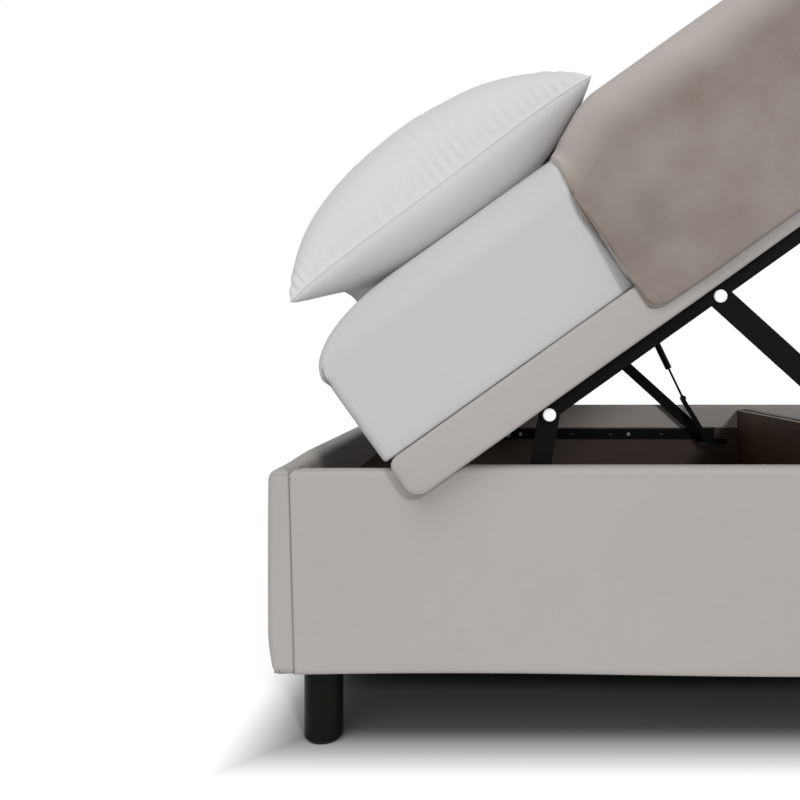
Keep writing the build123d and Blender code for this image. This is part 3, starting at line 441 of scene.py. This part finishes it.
def makePillow(name, side, look, node, seed):
    # with a = 1 - |u|^2.04 and b = 1 - |v|^2.56, height over the seam = rise x a^0.57 x b^0.36; under it
    # drop x a^p x b^0.44 with p from 0.39 to 2.59, so the head side lifts off the bed; flat where it lies on the
    # mattress or the throw. The seam is arched between the corners
    u = np.sin(np.linspace(-1, 1, 171) * np.pi / 2)
    v = np.sin(np.linspace(-1, 1, 211) * np.pi / 2)
    u, v = np.meshgrid(u, v, indexing="ij")
    blunt = 1 - look["tip"] * (np.abs(u) * np.abs(v)) ** 9
    endDraw = np.where(u < 0, look["headDraw"], look["drawIn"])
    x = (look["halfLength"] * u - endDraw * np.sign(u) * np.abs(u) ** 1.5 * (1 - v ** 2)) * blunt
    y = (look["halfWidth"] * v - look["drawIn"] * np.sign(v) * np.abs(v) ** 1.5 * (1 - u ** 2)) * blunt
    alongBody, acrossBody = np.clip(1 - np.abs(u) ** 2.04, 0, 1), np.clip(1 - np.abs(v) ** 2.56, 0, 1)
    endEdge, sideEdge = look["halfLength"] * (1 - np.abs(u)), look["halfWidth"] * (1 - np.abs(v))
    edge = np.minimum(endEdge, sideEdge)
    atSeam = edge <= 1e-6
    base = mattressTop + look["seamHeight"] + look["tilt"] * u
    endArch = np.where(u < 0, look["headArch"], look["endArch"])
    base = base + look["arch"] * (1 - u ** 4) * v ** 2 + endArch * (1 - v ** 4) * u ** 2
    height = look["rise"] * alongBody ** 0.573 * acrossBody ** 0.362
    flat = np.stack([x, y, np.zeros_like(x)], -1)
    # gathers run in from the seam in clusters; thin creases wander on over the dome
    wander = 0.7 * ripple(flat, 110, seed)
    cluster = np.clip(0.45 + 0.8 * ripple(flat, 170, seed + 1), 0, 1.2)
    bySide = endEdge / np.maximum(endEdge + sideEdge, 1e-6)
    gathers = (bySide * np.sin(2 * np.pi * (x / look["pitch"] + wander)) +
               0.5 * (1 - bySide) * np.sin(2 * np.pi * (y / look["endPitch"] + wander)))
    gathers = gathers * cluster * np.exp(-height / look["gatherHigh"]) * smoothStep(height, 0, 12)
    line = ripple(flat * np.array([1, 0.3, 1]), 52, seed + 2)
    creases = np.exp(-(line / 0.13) ** 2) * cluster * smoothStep(edge, 6, 30) * (1 - smoothStep(edge, 120, 230))
    soft = ripple(flat * np.array([1, 0.5, 1]), 120, seed + 3) * smoothStep(edge, 5, 60)
    upper = np.stack([x, y, base + height], -1)
    upper = pushedOut(upper, look["fold"] * gathers - look["crease"] * creases + look["soft"] * soft)
    power = np.where(u < 0, 0.39 + 2.2 * (1 - np.abs(v)) ** 1.65, 0.452)
    lower = np.stack([x, y, base - look["drop"] * alongBody ** power * acrossBody ** 0.436], -1)
    lower = pushedOut(lower, -0.25 * look["fold"] * gathers)
    placeX, placeY = lower[..., 0] + look["centreX"], lower[..., 1] + look["centreY"]
    onThrow = placeX > throwLook["start"] + throwLook["drawBack"]
    under = np.where(onThrow, throwTop(placeX, placeY) + look["throwGap"], 0)
    bed = crownHeight(placeY) + look["bedGap"]
    bed = bed + (mattressTop + look["bedGap"] - bed) * (1 - smoothStep(placeX, 90, 170))
    lower[..., 2] = np.maximum(lower[..., 2], np.maximum(bed, under))
    spread = 1 + look["lip"] / look["halfLength"] * atSeam
    grids = []
    for sheet, lift in ((upper, look["lipThickness"]), (lower, -look["lipThickness"])):
        sheet[..., :2] = np.where(atSeam[..., None], flat[..., :2] * spread[..., None], sheet[..., :2])
        sheet[..., 2] = np.where(atSeam, base + lift, sheet[..., 2])
        grids.append(sheet)
    rows, columns = u.shape
    quads = gridQuads(rows, columns, False)
    ring = np.concatenate([np.arange(columns), np.arange(1, rows) * columns + columns - 1,
                           (rows - 1) * columns + np.arange(columns - 2, -1, -1),
                           np.arange(rows - 2, 0, -1) * columns])
    count = rows * columns
    rim = np.stack([ring, np.roll(ring, -1), np.roll(ring, -1) + count, ring + count], -1)
    points = np.concatenate([grid.reshape(-1, 3) for grid in grids])
    points[:, 0] += look["centreX"]
    points[:, 1] = -side * (points[:, 1] + look["centreY"])
    quads = np.concatenate([quads[:, ::-1], quads + count, rim])
    seamAndPaintedLight = np.tile(np.where(atSeam, 1.0, 0.0).ravel(), 2)
    return makePiece(name, points, "platform", "pillow_cotton", [node], seamAndPaintedLight, quads)


rightPillow = makePillow("rightPillow", -1, pillowLook, "right_pillow", 21)
leftPillow = makePillow("leftPillow", 1, pillowLook, "left_pillow", 27)

# Throw: one thick cloth over the mattress, hanging at both sides and the foot end
def makeThrow(look):
    # rings of a rounded rectangle with the head side lifted to the mattress top: hem, hanging side that leans
    # in a little, shoulder, top; then the same inwards by the thickness, so the cloth is closed
    halfLength = (look["end"] - look["start"]) / 2
    middle = (look["end"] + look["start"]) / 2
    topZ = mattressTop + look["loft"]
    thick, shoulder, lean, half = look["thickness"], look["shoulder"], look["lean"], look["halfWidth"]

    def ring(inset):
        flat = roundedOutline(halfLength - inset, half - inset, [r - inset for r in look["radii"]], 130, 130, 8, 0.45)
        return flat + np.array([middle, 0])

    outer = ring(0.0)
    fromHead = outer[:, 0] - look["start"]
    hanging = (fromHead > 3.5) | (np.abs(outer[:, 1]) > half - 3.5)
    corner = look["hemCorner"]
    rounding = np.clip(corner - fromHead, 0, corner)
    sway = ripple(np.column_stack([outer, np.zeros(len(outer))]), 300, 31)
    hem = look["hem"] + corner - np.sqrt(corner ** 2 - rounding ** 2) + look["sway"] * sway
    hem = np.where(hanging, hem, crownHeight(outer[:, 1]) + look["edgeGap"])
    outerRows, innerRows = [], []
    for share in np.linspace(0, 1, 34):
        inset = lean * smoothStep(share, 0.25, 0.95)
        outerRows.append((inset, hem + share * (topZ - shoulder - hem)))
        innerRows.append((thick + inset, hem + share * (topZ - shoulder - hem)))
    for turn in np.radians(np.linspace(0, 90, 16)[1:]):
        outerRows.append((lean + shoulder * (1 - math.cos(turn)), topZ - shoulder * (1 - math.sin(turn))))
        innerRows.append((lean + thick + (shoulder - thick) * (1 - math.cos(turn)),
                          topZ - shoulder + (shoulder - thick) * math.sin(turn)))
    for share in np.linspace(0, 1, 24)[1:]:
        reach = min(lean + shoulder + share * (half - lean - shoulder), halfLength - 1)
        outerRows.append((reach, topZ))
        innerRows.append((reach, topZ - thick))
    rim = [(thick * (0.5 - 0.5 * math.cos(t)), hem - thick / 2 * math.sin(t))
           for t in np.radians([150, 120, 90, 60, 30])]
    rows = innerRows[::-1] + rim + outerRows
    points = np.stack([np.column_stack([ring(inset), level + 0 * hem]) for inset, level in rows])
    x, y, z = np.moveaxis(points, -1, 0)
    isInner = (np.arange(len(rows)) < len(innerRows) + 2)[:, None]
    # the head edge stays straight down the side although the side leans in
    leaning = np.array([min(inset, lean) for inset, _ in rows])[:, None]
    x -= leaning * (1 - smoothStep(x, look["start"] + lean, look["start"] + 110))
    # above the rail the side and the shoulder are moved to the profile that belongs to their x
    edge, reach, _, _, cloth = throwProfile(x)
    side, full = np.abs(y), half - lean
    start, newStart, newEnd = full - thick * isInner, edge - cloth * isInner, edge - reach
    share = np.clip((start - side) / (shoulder - thick * isInner), 0, 1)
    grown = (edge - look["edgeFrom"]) / (full - look["edgeFrom"])
    moved = np.where(side > start, newStart + (side - start) * grown, newStart - (newStart - newEnd) * share)
    moved = np.where(side < full - shoulder, side * newEnd / (full - shoulder), moved)
    overRail = side - (look["thinner"] - 7 * isInner) * (1 - grown) * (side > 780)
    y[:] = np.sign(y) * (overRail + (moved - overRail) * smoothStep(z, 69, 98))
    # the head edge is thin and follows the mattress's rounded edge
    rise = throwTop(x, y) - 4 * (1 - smoothStep(x, look["start"], look["start"] + 8))
    z[:] = np.minimum(z, rise - cloth * isInner)
    over = (np.abs(y) < mattressLook["halfWidth"] + 1) & (x < mattressLook["start"] + mattressLook["length"] + 1)
    z[:] = np.where(over, np.maximum(z, crownHeight(y) + look["bedGap"]), z)
    # the corner of the head edge is drawn back over the mattress's shoulder
    x += look["drawBack"] * smoothStep(z, 185, 292) * (1 - smoothStep(x, look["start"], look["start"] + 60))
    # slow folds on what hangs, and a soft unevenness on top
    fold = 0.5 + 0.6 * ripple(points * np.array([1, 1, 0.25]), 230, 32)
    fold = look["wave"] * fold * smoothStep(topZ - z, 40, 220)
    onSide, onFoot = smoothStep(np.abs(y), 780, 812), smoothStep(x, look["end"] - 45, look["end"] - 12)
    y += np.sign(y) * fold * onSide
    x += fold * onFoot
    # painted highlight: the cloth is painted lighter over the shoulder, where light from above falls on it, through
    # the mark attribute
    _, _, low, top, _ = throwProfile(x)
    shoulderHighlight = look["shoulderHighlight"] * smoothStep((z - low + 18) / (top - low + 18), 0, 1) * ~isInner
    inside = smoothStep(half - np.abs(y), 30, 120) * smoothStep(x, 560, 680)
    z += look["uneven"] * ripple(points, 240, 33) * inside
    return makePiece("velvetThrow", points, "platform", "throw_velvet", ["throw"], shoulderHighlight)


throwPiece = makeThrow(throwLook)

# Padded side rails of the platform
railLook = {"length": 2040.0, "height": 67.0, "inner": 795.2, "outer": 819.4, "radii": [15.0, 15.0, 24.0, 24.0],
            "edge": 5.0, "board": 4.7, "groove": 0.8, "grooveAt": 4.6, "puff": 1.4, "swell": 0.5, "sag": 0.6}


def makeSideRail(name, side, look, node, seed):
    # a tray round the board: inner rim, outside edge, rounded front edge with the seam in it, which shows
    # most round the ends, and a front that swells a little towards its middle
    halfLength, halfHeight = look["length"] / 2, look["height"] / 2
    edge, depth = look["edge"], look["outer"] - look["inner"]
    arc = np.radians([0, 15, 30, 45, 60, 70, 80, 90])
    rows = [(look["board"] + t * (halfHeight - look["board"]), depth - 5.0) for t in np.linspace(1, 0, 5)]
    rows += [(look["board"], 0.0), (2.0, 0.0), (0.6, 0.6), (0.0, 2.0)]
    rows += [(0.0, d) for d in np.linspace(4, depth - edge, 7)]
    rows += [(edge * (1 - math.cos(t)), depth - edge + edge * math.sin(t)) for t in arc[1:]]
    inward = np.concatenate([np.linspace(edge + 0.5, 9, 8), np.linspace(11, halfHeight, 10)])
    for reach in inward:
        rows.append((reach, depth + look["puff"] * (1 - ((halfHeight - reach) / (halfHeight - edge)) ** 2)))
    rings = []
    for reach, out in rows:
        radii = [r - reach for r in look["radii"]]
        ring = roundedOutline(halfLength - reach, halfHeight - reach, radii, 240, 8, 9, 0.3)
        rings.append(np.column_stack([ring[:, 0] + halfLength, np.full(len(ring), out), ring[:, 1] + halfHeight]))
    points = np.stack(rings)
    x, y, z = np.moveaxis(points, -1, 0)
    y += look["swell"] * ripple(points, 150, seed) * smoothStep(y, depth - 8, depth)
    z += look["sag"] * ripple(points * np.array([1, 0, 0]), 420, seed + 1) * (y > 2)
    y[:] = side * (look["inner"] + y)
    reaches = np.array([row[0] for row in rows])[:, None]
    atEnd = smoothStep(np.abs(x - halfLength), halfLength - 45, halfLength - 20)
    line = np.exp(-((reaches - look["grooveAt"]) / 0.7) ** 2) * (np.arange(len(rows)) > 15)[:, None]
    y -= side * look["groove"] * line * atEnd * (1 - smoothStep(z, 44, 62))
    seamAndPaintedLight = line * np.maximum(0.12 * (z < halfHeight), 0.4 * atEnd * (1 - smoothStep(z, 44, 62)))
    return makePiece(name, points, "platform", "upholstery", [node], seamAndPaintedLight)


for name, side, seed in (("right", -1, 41), ("left", 1, 44)):
    rail = makeSideRail(name + "RailCover", side, railLook, name + "_side_rail_cover", seed)

# Padded rails across the head and foot end of the platform
endRailLook = {"thickness": 25.0, "halfWidth": 749.6, "low": 8.0, "high": 67.0, "edge": 5.0, "puff": 1.0,
               "swell": 0.4}


def makeEndRail(name, start, facing, look, node, seed):
    # a slab: its back face, rounded edges all round and a slightly swollen front
    halfHeight = (look["high"] - look["low"]) / 2
    edge = look["edge"]
    arc = np.radians(np.linspace(0, 90, 6))
    rows = [(t * halfHeight, 0.0) for t in np.linspace(1, 0.06, 6)]
    rows += [(0.0, d) for d in np.linspace(1.0, look["thickness"] - edge, 6)]
    rows += [(edge * (1 - math.cos(t)), look["thickness"] - edge + edge * math.sin(t)) for t in arc[1:]]
    rows += [(edge + t * (halfHeight - edge), look["thickness"] + look["puff"] * t) for t in np.linspace(0.1, 1, 7)]
    rings = []
    for reach, out in rows:
        ring = roundedOutline(look["halfWidth"] - reach, halfHeight - reach, [6 - reach] * 4, 150, 8, 5)
        rings.append(np.column_stack([np.full(len(ring), out), ring[:, 0], ring[:, 1] + halfHeight + look["low"]]))
    points = np.stack(rings)
    x = points[..., 0]
    x += look["swell"] * ripple(points, 140, seed) * (x > 20)
    x[:] = start + facing * x
    return makePiece(name, points, "platform", "upholstery", [node])


headRail = makeEndRail("headEndRail", 25.0, -1, endRailLook, "head_end_rail", 51)
footRail = makeEndRail("footEndRail", 2015.0, 1, endRailLook, "foot_end_rail", 52)

# Upholstery of the storage box
coverLook = {"shoulder": 11.0, "endShoulder": 15.0, "corner": 17.0, "seamDrop": 7.0, "groove": 0.9, "puff": 1.2,
             "short": 0.35, "sag": 2.79, "seamLow": 5.6, "seamHigh": -2.3, "slack": 5.0, "foldWave": 1.5,
             "belly": 0.6, "tuckIn": 6.0, "dip": 1.2, "dipWide": 2.2}


def hemHeight(x, y):
    # the stapled lower edge wanders by a few millimetres round the box
    wave = np.cos(2 * np.pi * (x + 752) / 1050) * (np.abs(y) > 700) + 0.5 * np.cos(2 * np.pi * (y - 120) / 900)
    return boxSize["bottom"] - 0.5 + coverLook["sag"] * wave


def coverPush(points, seed):
    # padding under taut cloth: slow swelling and short waves, less towards the seams
    height, bottom, top = points[..., 2], boxSize["bottom"], boxSize["top"]
    free = smoothStep(height, bottom, bottom + 60) * (1 - smoothStep(height, top - 60, top - 8))
    slow = coverLook["puff"] * free * (0.5 + 0.5 * ripple(points, 330, seed))
    return slow + coverLook["short"] * ripple(points, 85, seed + 1) * free


def seamShift(z):
    # the upright seam at each corner is not quite plumb
    share = (z - boxSize["bottom"]) / (boxSize["top"] - boxSize["bottom"])
    return coverLook["seamLow"] + (coverLook["seamHigh"] - coverLook["seamLow"]) * share


def makeSideCover(name, side, node, seed):
    # one section swept along the wall: under the board, up the outside, over the crest, down the fold inside,
    # and back along the board
    half, bottom, top = boxSize["halfWidth"], boxSize["bottom"], boxSize["top"]
    board, wall, fold = half - boxSize["padding"], half - boxSize["wall"], boxSize["foldEdge"]
    boardIn = board - boxSize["board"]
    r = coverLook["shoulder"]
    arc = np.radians(np.linspace(0, 90, 8))
    outside = [(board + boxSize["ease"], 1.0), (half - 5, -1.5), (half - 1.5, 0.5), (half - 0.3, 4.0)]
    outside += [(half, z) for z in np.linspace(9, top - bottom - r - 14, 40)]
    outside += [(half, z) for z in top - bottom - np.array([22, 19, 17, 15.5, 14, 12.5])]
    over = [(half - r + r * math.cos(t), top - bottom - r + r * math.sin(t)) for t in arc]
    over += [(y, top - bottom + 0.6) for y in np.linspace(half - r - 3, wall + r + 3, 4)]
    over += [(wall + r - r * math.sin(t), top - bottom - r + r * math.cos(t)) for t in arc]
    inside = [(wall, z) for z in np.linspace(top - bottom - r - 4, fold - bottom + 5, 16)]
    inside += [(wall + 0.4, fold - bottom + 1.0), (wall + 1.4, fold - bottom), (wall + 2.6, fold - bottom + 1.0)]
    ease = boxSize["ease"]
    boardTop = top - bottom - boxSize["padding"] + ease
    back = [(boardIn - ease, z) for z in np.linspace(fold - bottom + 6, boardTop, 8)]
    back += [(board + ease, boardTop)] + [(board + ease, z) for z in np.linspace(top - bottom - 20, 6, 10)]
    section = np.array(outside + over + inside + back)
    halfLength = boxSize["halfLength"] - boxSize["wall"]
    atEnds = halfLength - np.array([ease, 1, 2, 4, 8])
    along = np.concatenate([-atEnds, np.linspace(-halfLength + 14, halfLength - 14, 240), atEnds[::-1]])
    x = np.repeat(along[:, None], len(section), 1)
    y = np.repeat(section[None, :, 0], len(along), 0)
    z = np.repeat(section[None, :, 1], len(along), 0)
    hem = hemHeight(x, side * half) - bottom
    z = bottom + z + hem * (1 - smoothStep(z, 0, 70)) * (y > board - 1)
    points = np.stack([x, y, z], -1)
    isOut = np.arange(len(section)) < len(outside) + 5
    fromEnd = halfLength - np.abs(x)
    push = coverPush(points, seed) * isOut * smoothStep(fromEnd, 0, 60)
    endDip = coverLook["dip"] * np.exp(-(fromEnd / coverLook["dipWide"]) ** 2)
    points[..., 1] += push - endDip * isOut
    points[..., 2] -= (endDip * 0.6 + 1.6 * np.exp(-(fromEnd / 10) ** 2)) * ((z > top - 12) & (y > boardIn))
    # the crest sinks a little towards the head end
    slack = coverLook["slack"] * (1 - smoothStep(x, -850, -725))
    points[..., 2] -= slack * smoothStep(z, top - 60, top - 8)
    skin = smoothStep(y, half - 9, half - 1) * (1 - smoothStep(fromEnd, 0, 80))
    points[..., 0] += np.sign(x) * -seamShift(z) * skin
    isFold = (np.arange(len(section)) >= len(outside + over)) & (section[:, 0] < boardIn - 0.1)
    isFold = isFold * (1 - smoothStep(z, fold, fold + 25))
    points[..., 2] += coverLook["foldWave"] * ripple(points * np.array([1, 0, 0]), 180, seed + 3) * isFold
    points[..., 1] *= side
    seamAndPaintedLight = np.exp(-(fromEnd / 1.1) ** 2) * isOut * 0.8
    return makePiece(name, points, "bed_base", "upholstery", [node], seamAndPaintedLight)


def makeEndCover(name, end, node, seed):
    # rings of a long narrow rectangle with rounded outer corners: up the outside, over the crest and closed along
    # its middle line; the inner side starts at the fold. The hollow for the board repeats them inwards
    bottom, top, fold = boxSize["bottom"], boxSize["top"], boxSize["foldEdge"]
    halfWall, half, r = boxSize["wall"] / 2, boxSize["halfWidth"], coverLook["endShoulder"]
    corner = coverLook["corner"]

    def ring(inset):
        # the long side is drawn along X and turned to Y afterwards, outer face in the + direction
        return roundedOutline(half - inset, halfWall - inset, [q - inset for q in (corner, corner, 1.0, 1.0)],
                              220, 10, 9)

    outer = ring(0)
    isInner = (outer[:, 1] < -halfWall + 1.2) & (np.abs(outer[:, 0]) < half - boxSize["padding"] + 0.5)
    xWorld = boxSize["halfLength"] - halfWall + outer[:, 1]
    hem = np.where(isInner, fold, hemHeight(end * xWorld, outer[:, 0]))
    rows = []
    share = np.concatenate([[0.0, 0.012, 0.03], np.linspace(0.05, 1, 34)])
    crest = top - r
    for t in share:
        draw = 5.0 * (1 - smoothStep(t, 0, 0.035)) * ~isInner
        rows.append((0.0, hem + t * (crest - 14 - hem), draw))
    rows += [(0.0, crest - 14 + d, 0.0) for d in (4, 7, 9, 11, 12.5, 14)]
    for turn in np.radians(np.linspace(0, 90, 15)[1:]):
        rows.append((r * (1 - math.cos(turn)), crest + r * math.sin(turn), 0.0))
    rows += [(r + t * (halfWall - r), top + 0.6 * t, 0.0) for t in (0.35, 0.7, 1.0)]
    # hollow for the board, which lies under the padding on the outside
    padding, ease = boxSize["padding"], boxSize["ease"]
    hollowTop = top - padding + ease
    boardOut, boardIn = halfWall - padding + ease, halfWall - padding - boxSize["board"] - ease
    hollowMid, hollowHalf = (boardOut + boardIn) / 2, (boardOut - boardIn) / 2
    inner = []
    for t in np.linspace(1, 0, 12):
        inner.append((0.0, np.where(isInner, fold + 1, hem + 1.5) * (1 - t) + t * hollowTop))
    capRows = [(hollowHalf * t, hollowTop) for t in (1.0, 0.5)]
    points = []
    for inset, z in capRows + inner:
        flat = roundedOutline(half - padding + ease - inset, hollowHalf - inset, [0.2] * 4, 220, 10, 9)
        points.append(np.column_stack([flat[:, 1] + hollowMid, flat[:, 0], z + 0 * hem]))
    for inset, z, draw in rows:
        flat = ring(inset)
        facing = np.stack([np.sign(flat[:, 0]) * (np.abs(flat[:, 0]) > half - 18), (flat[:, 1] > halfWall - 18)], -1)
        flat = flat - facing * (draw + 0 * hem)[:, None]
        points.append(np.column_stack([flat[:, 1], flat[:, 0], z + 0 * hem]))
    points = np.stack(points)
    isOut = (np.arange(len(points)) >= len(capRows) + len(inner))[:, None] & ~isInner[None, :]
    x, y, z = points[..., 0], points[..., 1], points[..., 2].copy()
    onFace = smoothStep(x, halfWall - 12, halfWall - 1) * isOut
    push = coverPush(points, seed) * smoothStep(half - np.abs(y), 2, 60)
    belly = coverLook["belly"] * np.sin(np.pi * np.clip((z - bottom) / (top - bottom), 0, 1))
    # the face leans in towards the hem
    tuckIn = coverLook["tuckIn"] * (1 - smoothStep(z, bottom, bottom + 75)) ** 2
    line = np.exp(-((z - (top - coverLook["seamDrop"])) / 1.3) ** 2) * isOut
    onFace = np.maximum(onFace, smoothStep(x, halfWall - r, halfWall - 2) * isOut)
    x += (push + belly - tuckIn - coverLook["groove"] * line) * onFace
    onReturn = smoothStep(np.abs(y), half - 9, half - 1) * isOut
    y -= np.sign(y) * coverLook["groove"] * line * onReturn
    fromSeam = x + halfWall
    endDip = coverLook["dip"] * np.exp(-(fromSeam / coverLook["dipWide"]) ** 2) * onReturn
    y -= np.sign(y) * endDip
    x -= seamShift(z) * onReturn * (1 - smoothStep(fromSeam, 0, 24))
    if end < 0:
        points[..., 2] -= coverLook["slack"] * smoothStep(np.abs(y), 560, 740) * smoothStep(z, top - 60, top - 8)
    seamAndPaintedLight = np.maximum(0.4 * line, 0.8 * np.exp(-(fromSeam / 1.1) ** 2) * onReturn)
    x[:] = end * (boxSize["halfLength"] - halfWall + x)
    return makePiece(name, points, "bed_base", "upholstery", [node], seamAndPaintedLight)


covers = [makeSideCover("rightPanelCover", -1, "right_panel_cover", 61),
          makeSideCover("leftPanelCover", 1, "left_panel_cover", 65),
          makeEndCover("headPanelCover", -1, "head_panel_cover", 71),
          makeEndCover("footPanelCover", 1, "foot_panel_cover", 75)]

# Stage, light and camera, in metres
# under is the grey of a painted shade on the floor under the bed
studioLook = {"sky": 0.16, "floor": "#f0f0f0", "under": "#6a6a6a", "floorGlow": 0.55, "glowFrom": -0.012,
              "glowTo": 0.09}
# strength, then apparent size and turn in degrees
lampLook = {"keyLamp": (1.36, 50, (40, 0, -25)), "frontLamp": (0.24, 14, (83, 0, -8)),
            "slotLamp": (0.92, 7, (65, 0, 24))}
# a level camera that looks along Y, with its frame shifted to the left and down
cameraLook = {"place": (-0.6914, -1.861, 0.567), "lens": 33.22, "shiftX": -0.115, "shiftY": -0.04725}
floorMesh = bpy.data.meshes.new("studioFloor")
floorMesh.from_pydata([(-60, -60, 0), (60, -60, 0), (60, 60, 0), (-60, 60, 0)], [], [(0, 1, 2, 3)])
floor = newObject("studioFloor", floorMesh)
# Paper backdrop, dead matt.
floorPaint, floorTree, floorShader = newMaterial("mattPaperFloor", {
    "Roughness": 1.0, "Specular IOR Level": 0.0, "Emission Color": (1, 1, 1, 1)})
# the camera sees the paper a little lighter away from the bed, so that it runs into the white sky; under the
# bed its colour is painted grey, a painted shade
floorPath = addNode(floorTree, "LightPath")
floorPlace = addNode(floorTree, "TexCoord")
spot = addNode(floorTree, "SeparateXYZ", None, {"Vector": floorPlace.outputs["Object"]})
beside = []
for axis, half in (("X", 1.02), ("Y", 0.79)):
    reach = addNode(floorTree, "Math", None, {0: spot.outputs[axis]}, operation="ABSOLUTE")
    beside.append(addNode(floorTree, "Math", {1: half}, {0: reach.outputs[0]}, operation="SUBTRACT"))
away = addNode(floorTree, "Math", None, {0: beside[0].outputs[0], 1: beside[1].outputs[0]},
               operation="MAXIMUM")
glow = addNode(floorTree, "MapRange", {"From Min": studioLook["glowFrom"], "From Max": studioLook["glowTo"],
               "To Max": studioLook["floorGlow"]}, {"Value": away.outputs[0]}, interpolation_type="SMOOTHSTEP")
toCamera = addNode(floorTree, "Math", None,
                   {0: glow.outputs["Result"], 1: floorPath.outputs["Is Camera Ray"]}, operation="MULTIPLY")
floorTree.links.new(toCamera.outputs[0], floorShader.inputs["Emission Strength"])
# painted shade: the floor's colour turns grey under the bed
underBedPaintedShade = addNode(floorTree, "MapRange", {"From Min": -0.08, "From Max": 0.02},
                    {"Value": away.outputs[0]}, interpolation_type="SMOOTHSTEP")
paperWithPaintedShade = addNode(floorTree, "Mix", {6: linear(studioLook["under"]), 7: linear(studioLook["floor"])},
                {0: underBedPaintedShade.outputs["Result"]}, data_type="RGBA")
floorTree.links.new(paperWithPaintedShade.outputs[2], floorShader.inputs["Base Color"])
floorMesh.materials.append(floorPaint)

world = bpy.data.worlds.new("studio")
bpy.context.scene.world = world
world.use_nodes = True
sky = world.node_tree
background = sky.nodes["Background"]
path = addNode(sky, "LightPath")
# white to the camera and in reflections, dim as a light
seen = addNode(sky, "Math", None, {0: path.outputs["Is Camera Ray"], 1: path.outputs["Is Glossy Ray"]},
               operation="MAXIMUM")
strength = addNode(sky, "MapRange", {"To Min": studioLook["sky"], "To Max": 1.0}, {"Value": seen.outputs[0]})
background.inputs["Color"].default_value = (1, 1, 1, 1)
sky.links.new(strength.outputs["Result"], background.inputs["Strength"])

for name, (power, size, turn) in lampLook.items():
    lamp = bpy.data.lights.new(name, "SUN")
    lamp.energy = power
    lamp.angle = math.radians(size)
    newObject(name, lamp).rotation_euler = [math.radians(angle) for angle in turn]

camera = bpy.data.cameras.new("photoCamera")
camera.sensor_width = 36.0
camera.lens = cameraLook["lens"]
camera.shift_x = cameraLook["shiftX"]
camera.shift_y = cameraLook["shiftY"]
cameraHolder = newObject("photoCamera", camera)
cameraHolder.location = cameraLook["place"]
cameraHolder.rotation_euler = (math.pi / 2, 0, 0)
bpy.context.scene.camera = cameraHolder
bpy.context.scene.view_settings.view_transform = "Standard"
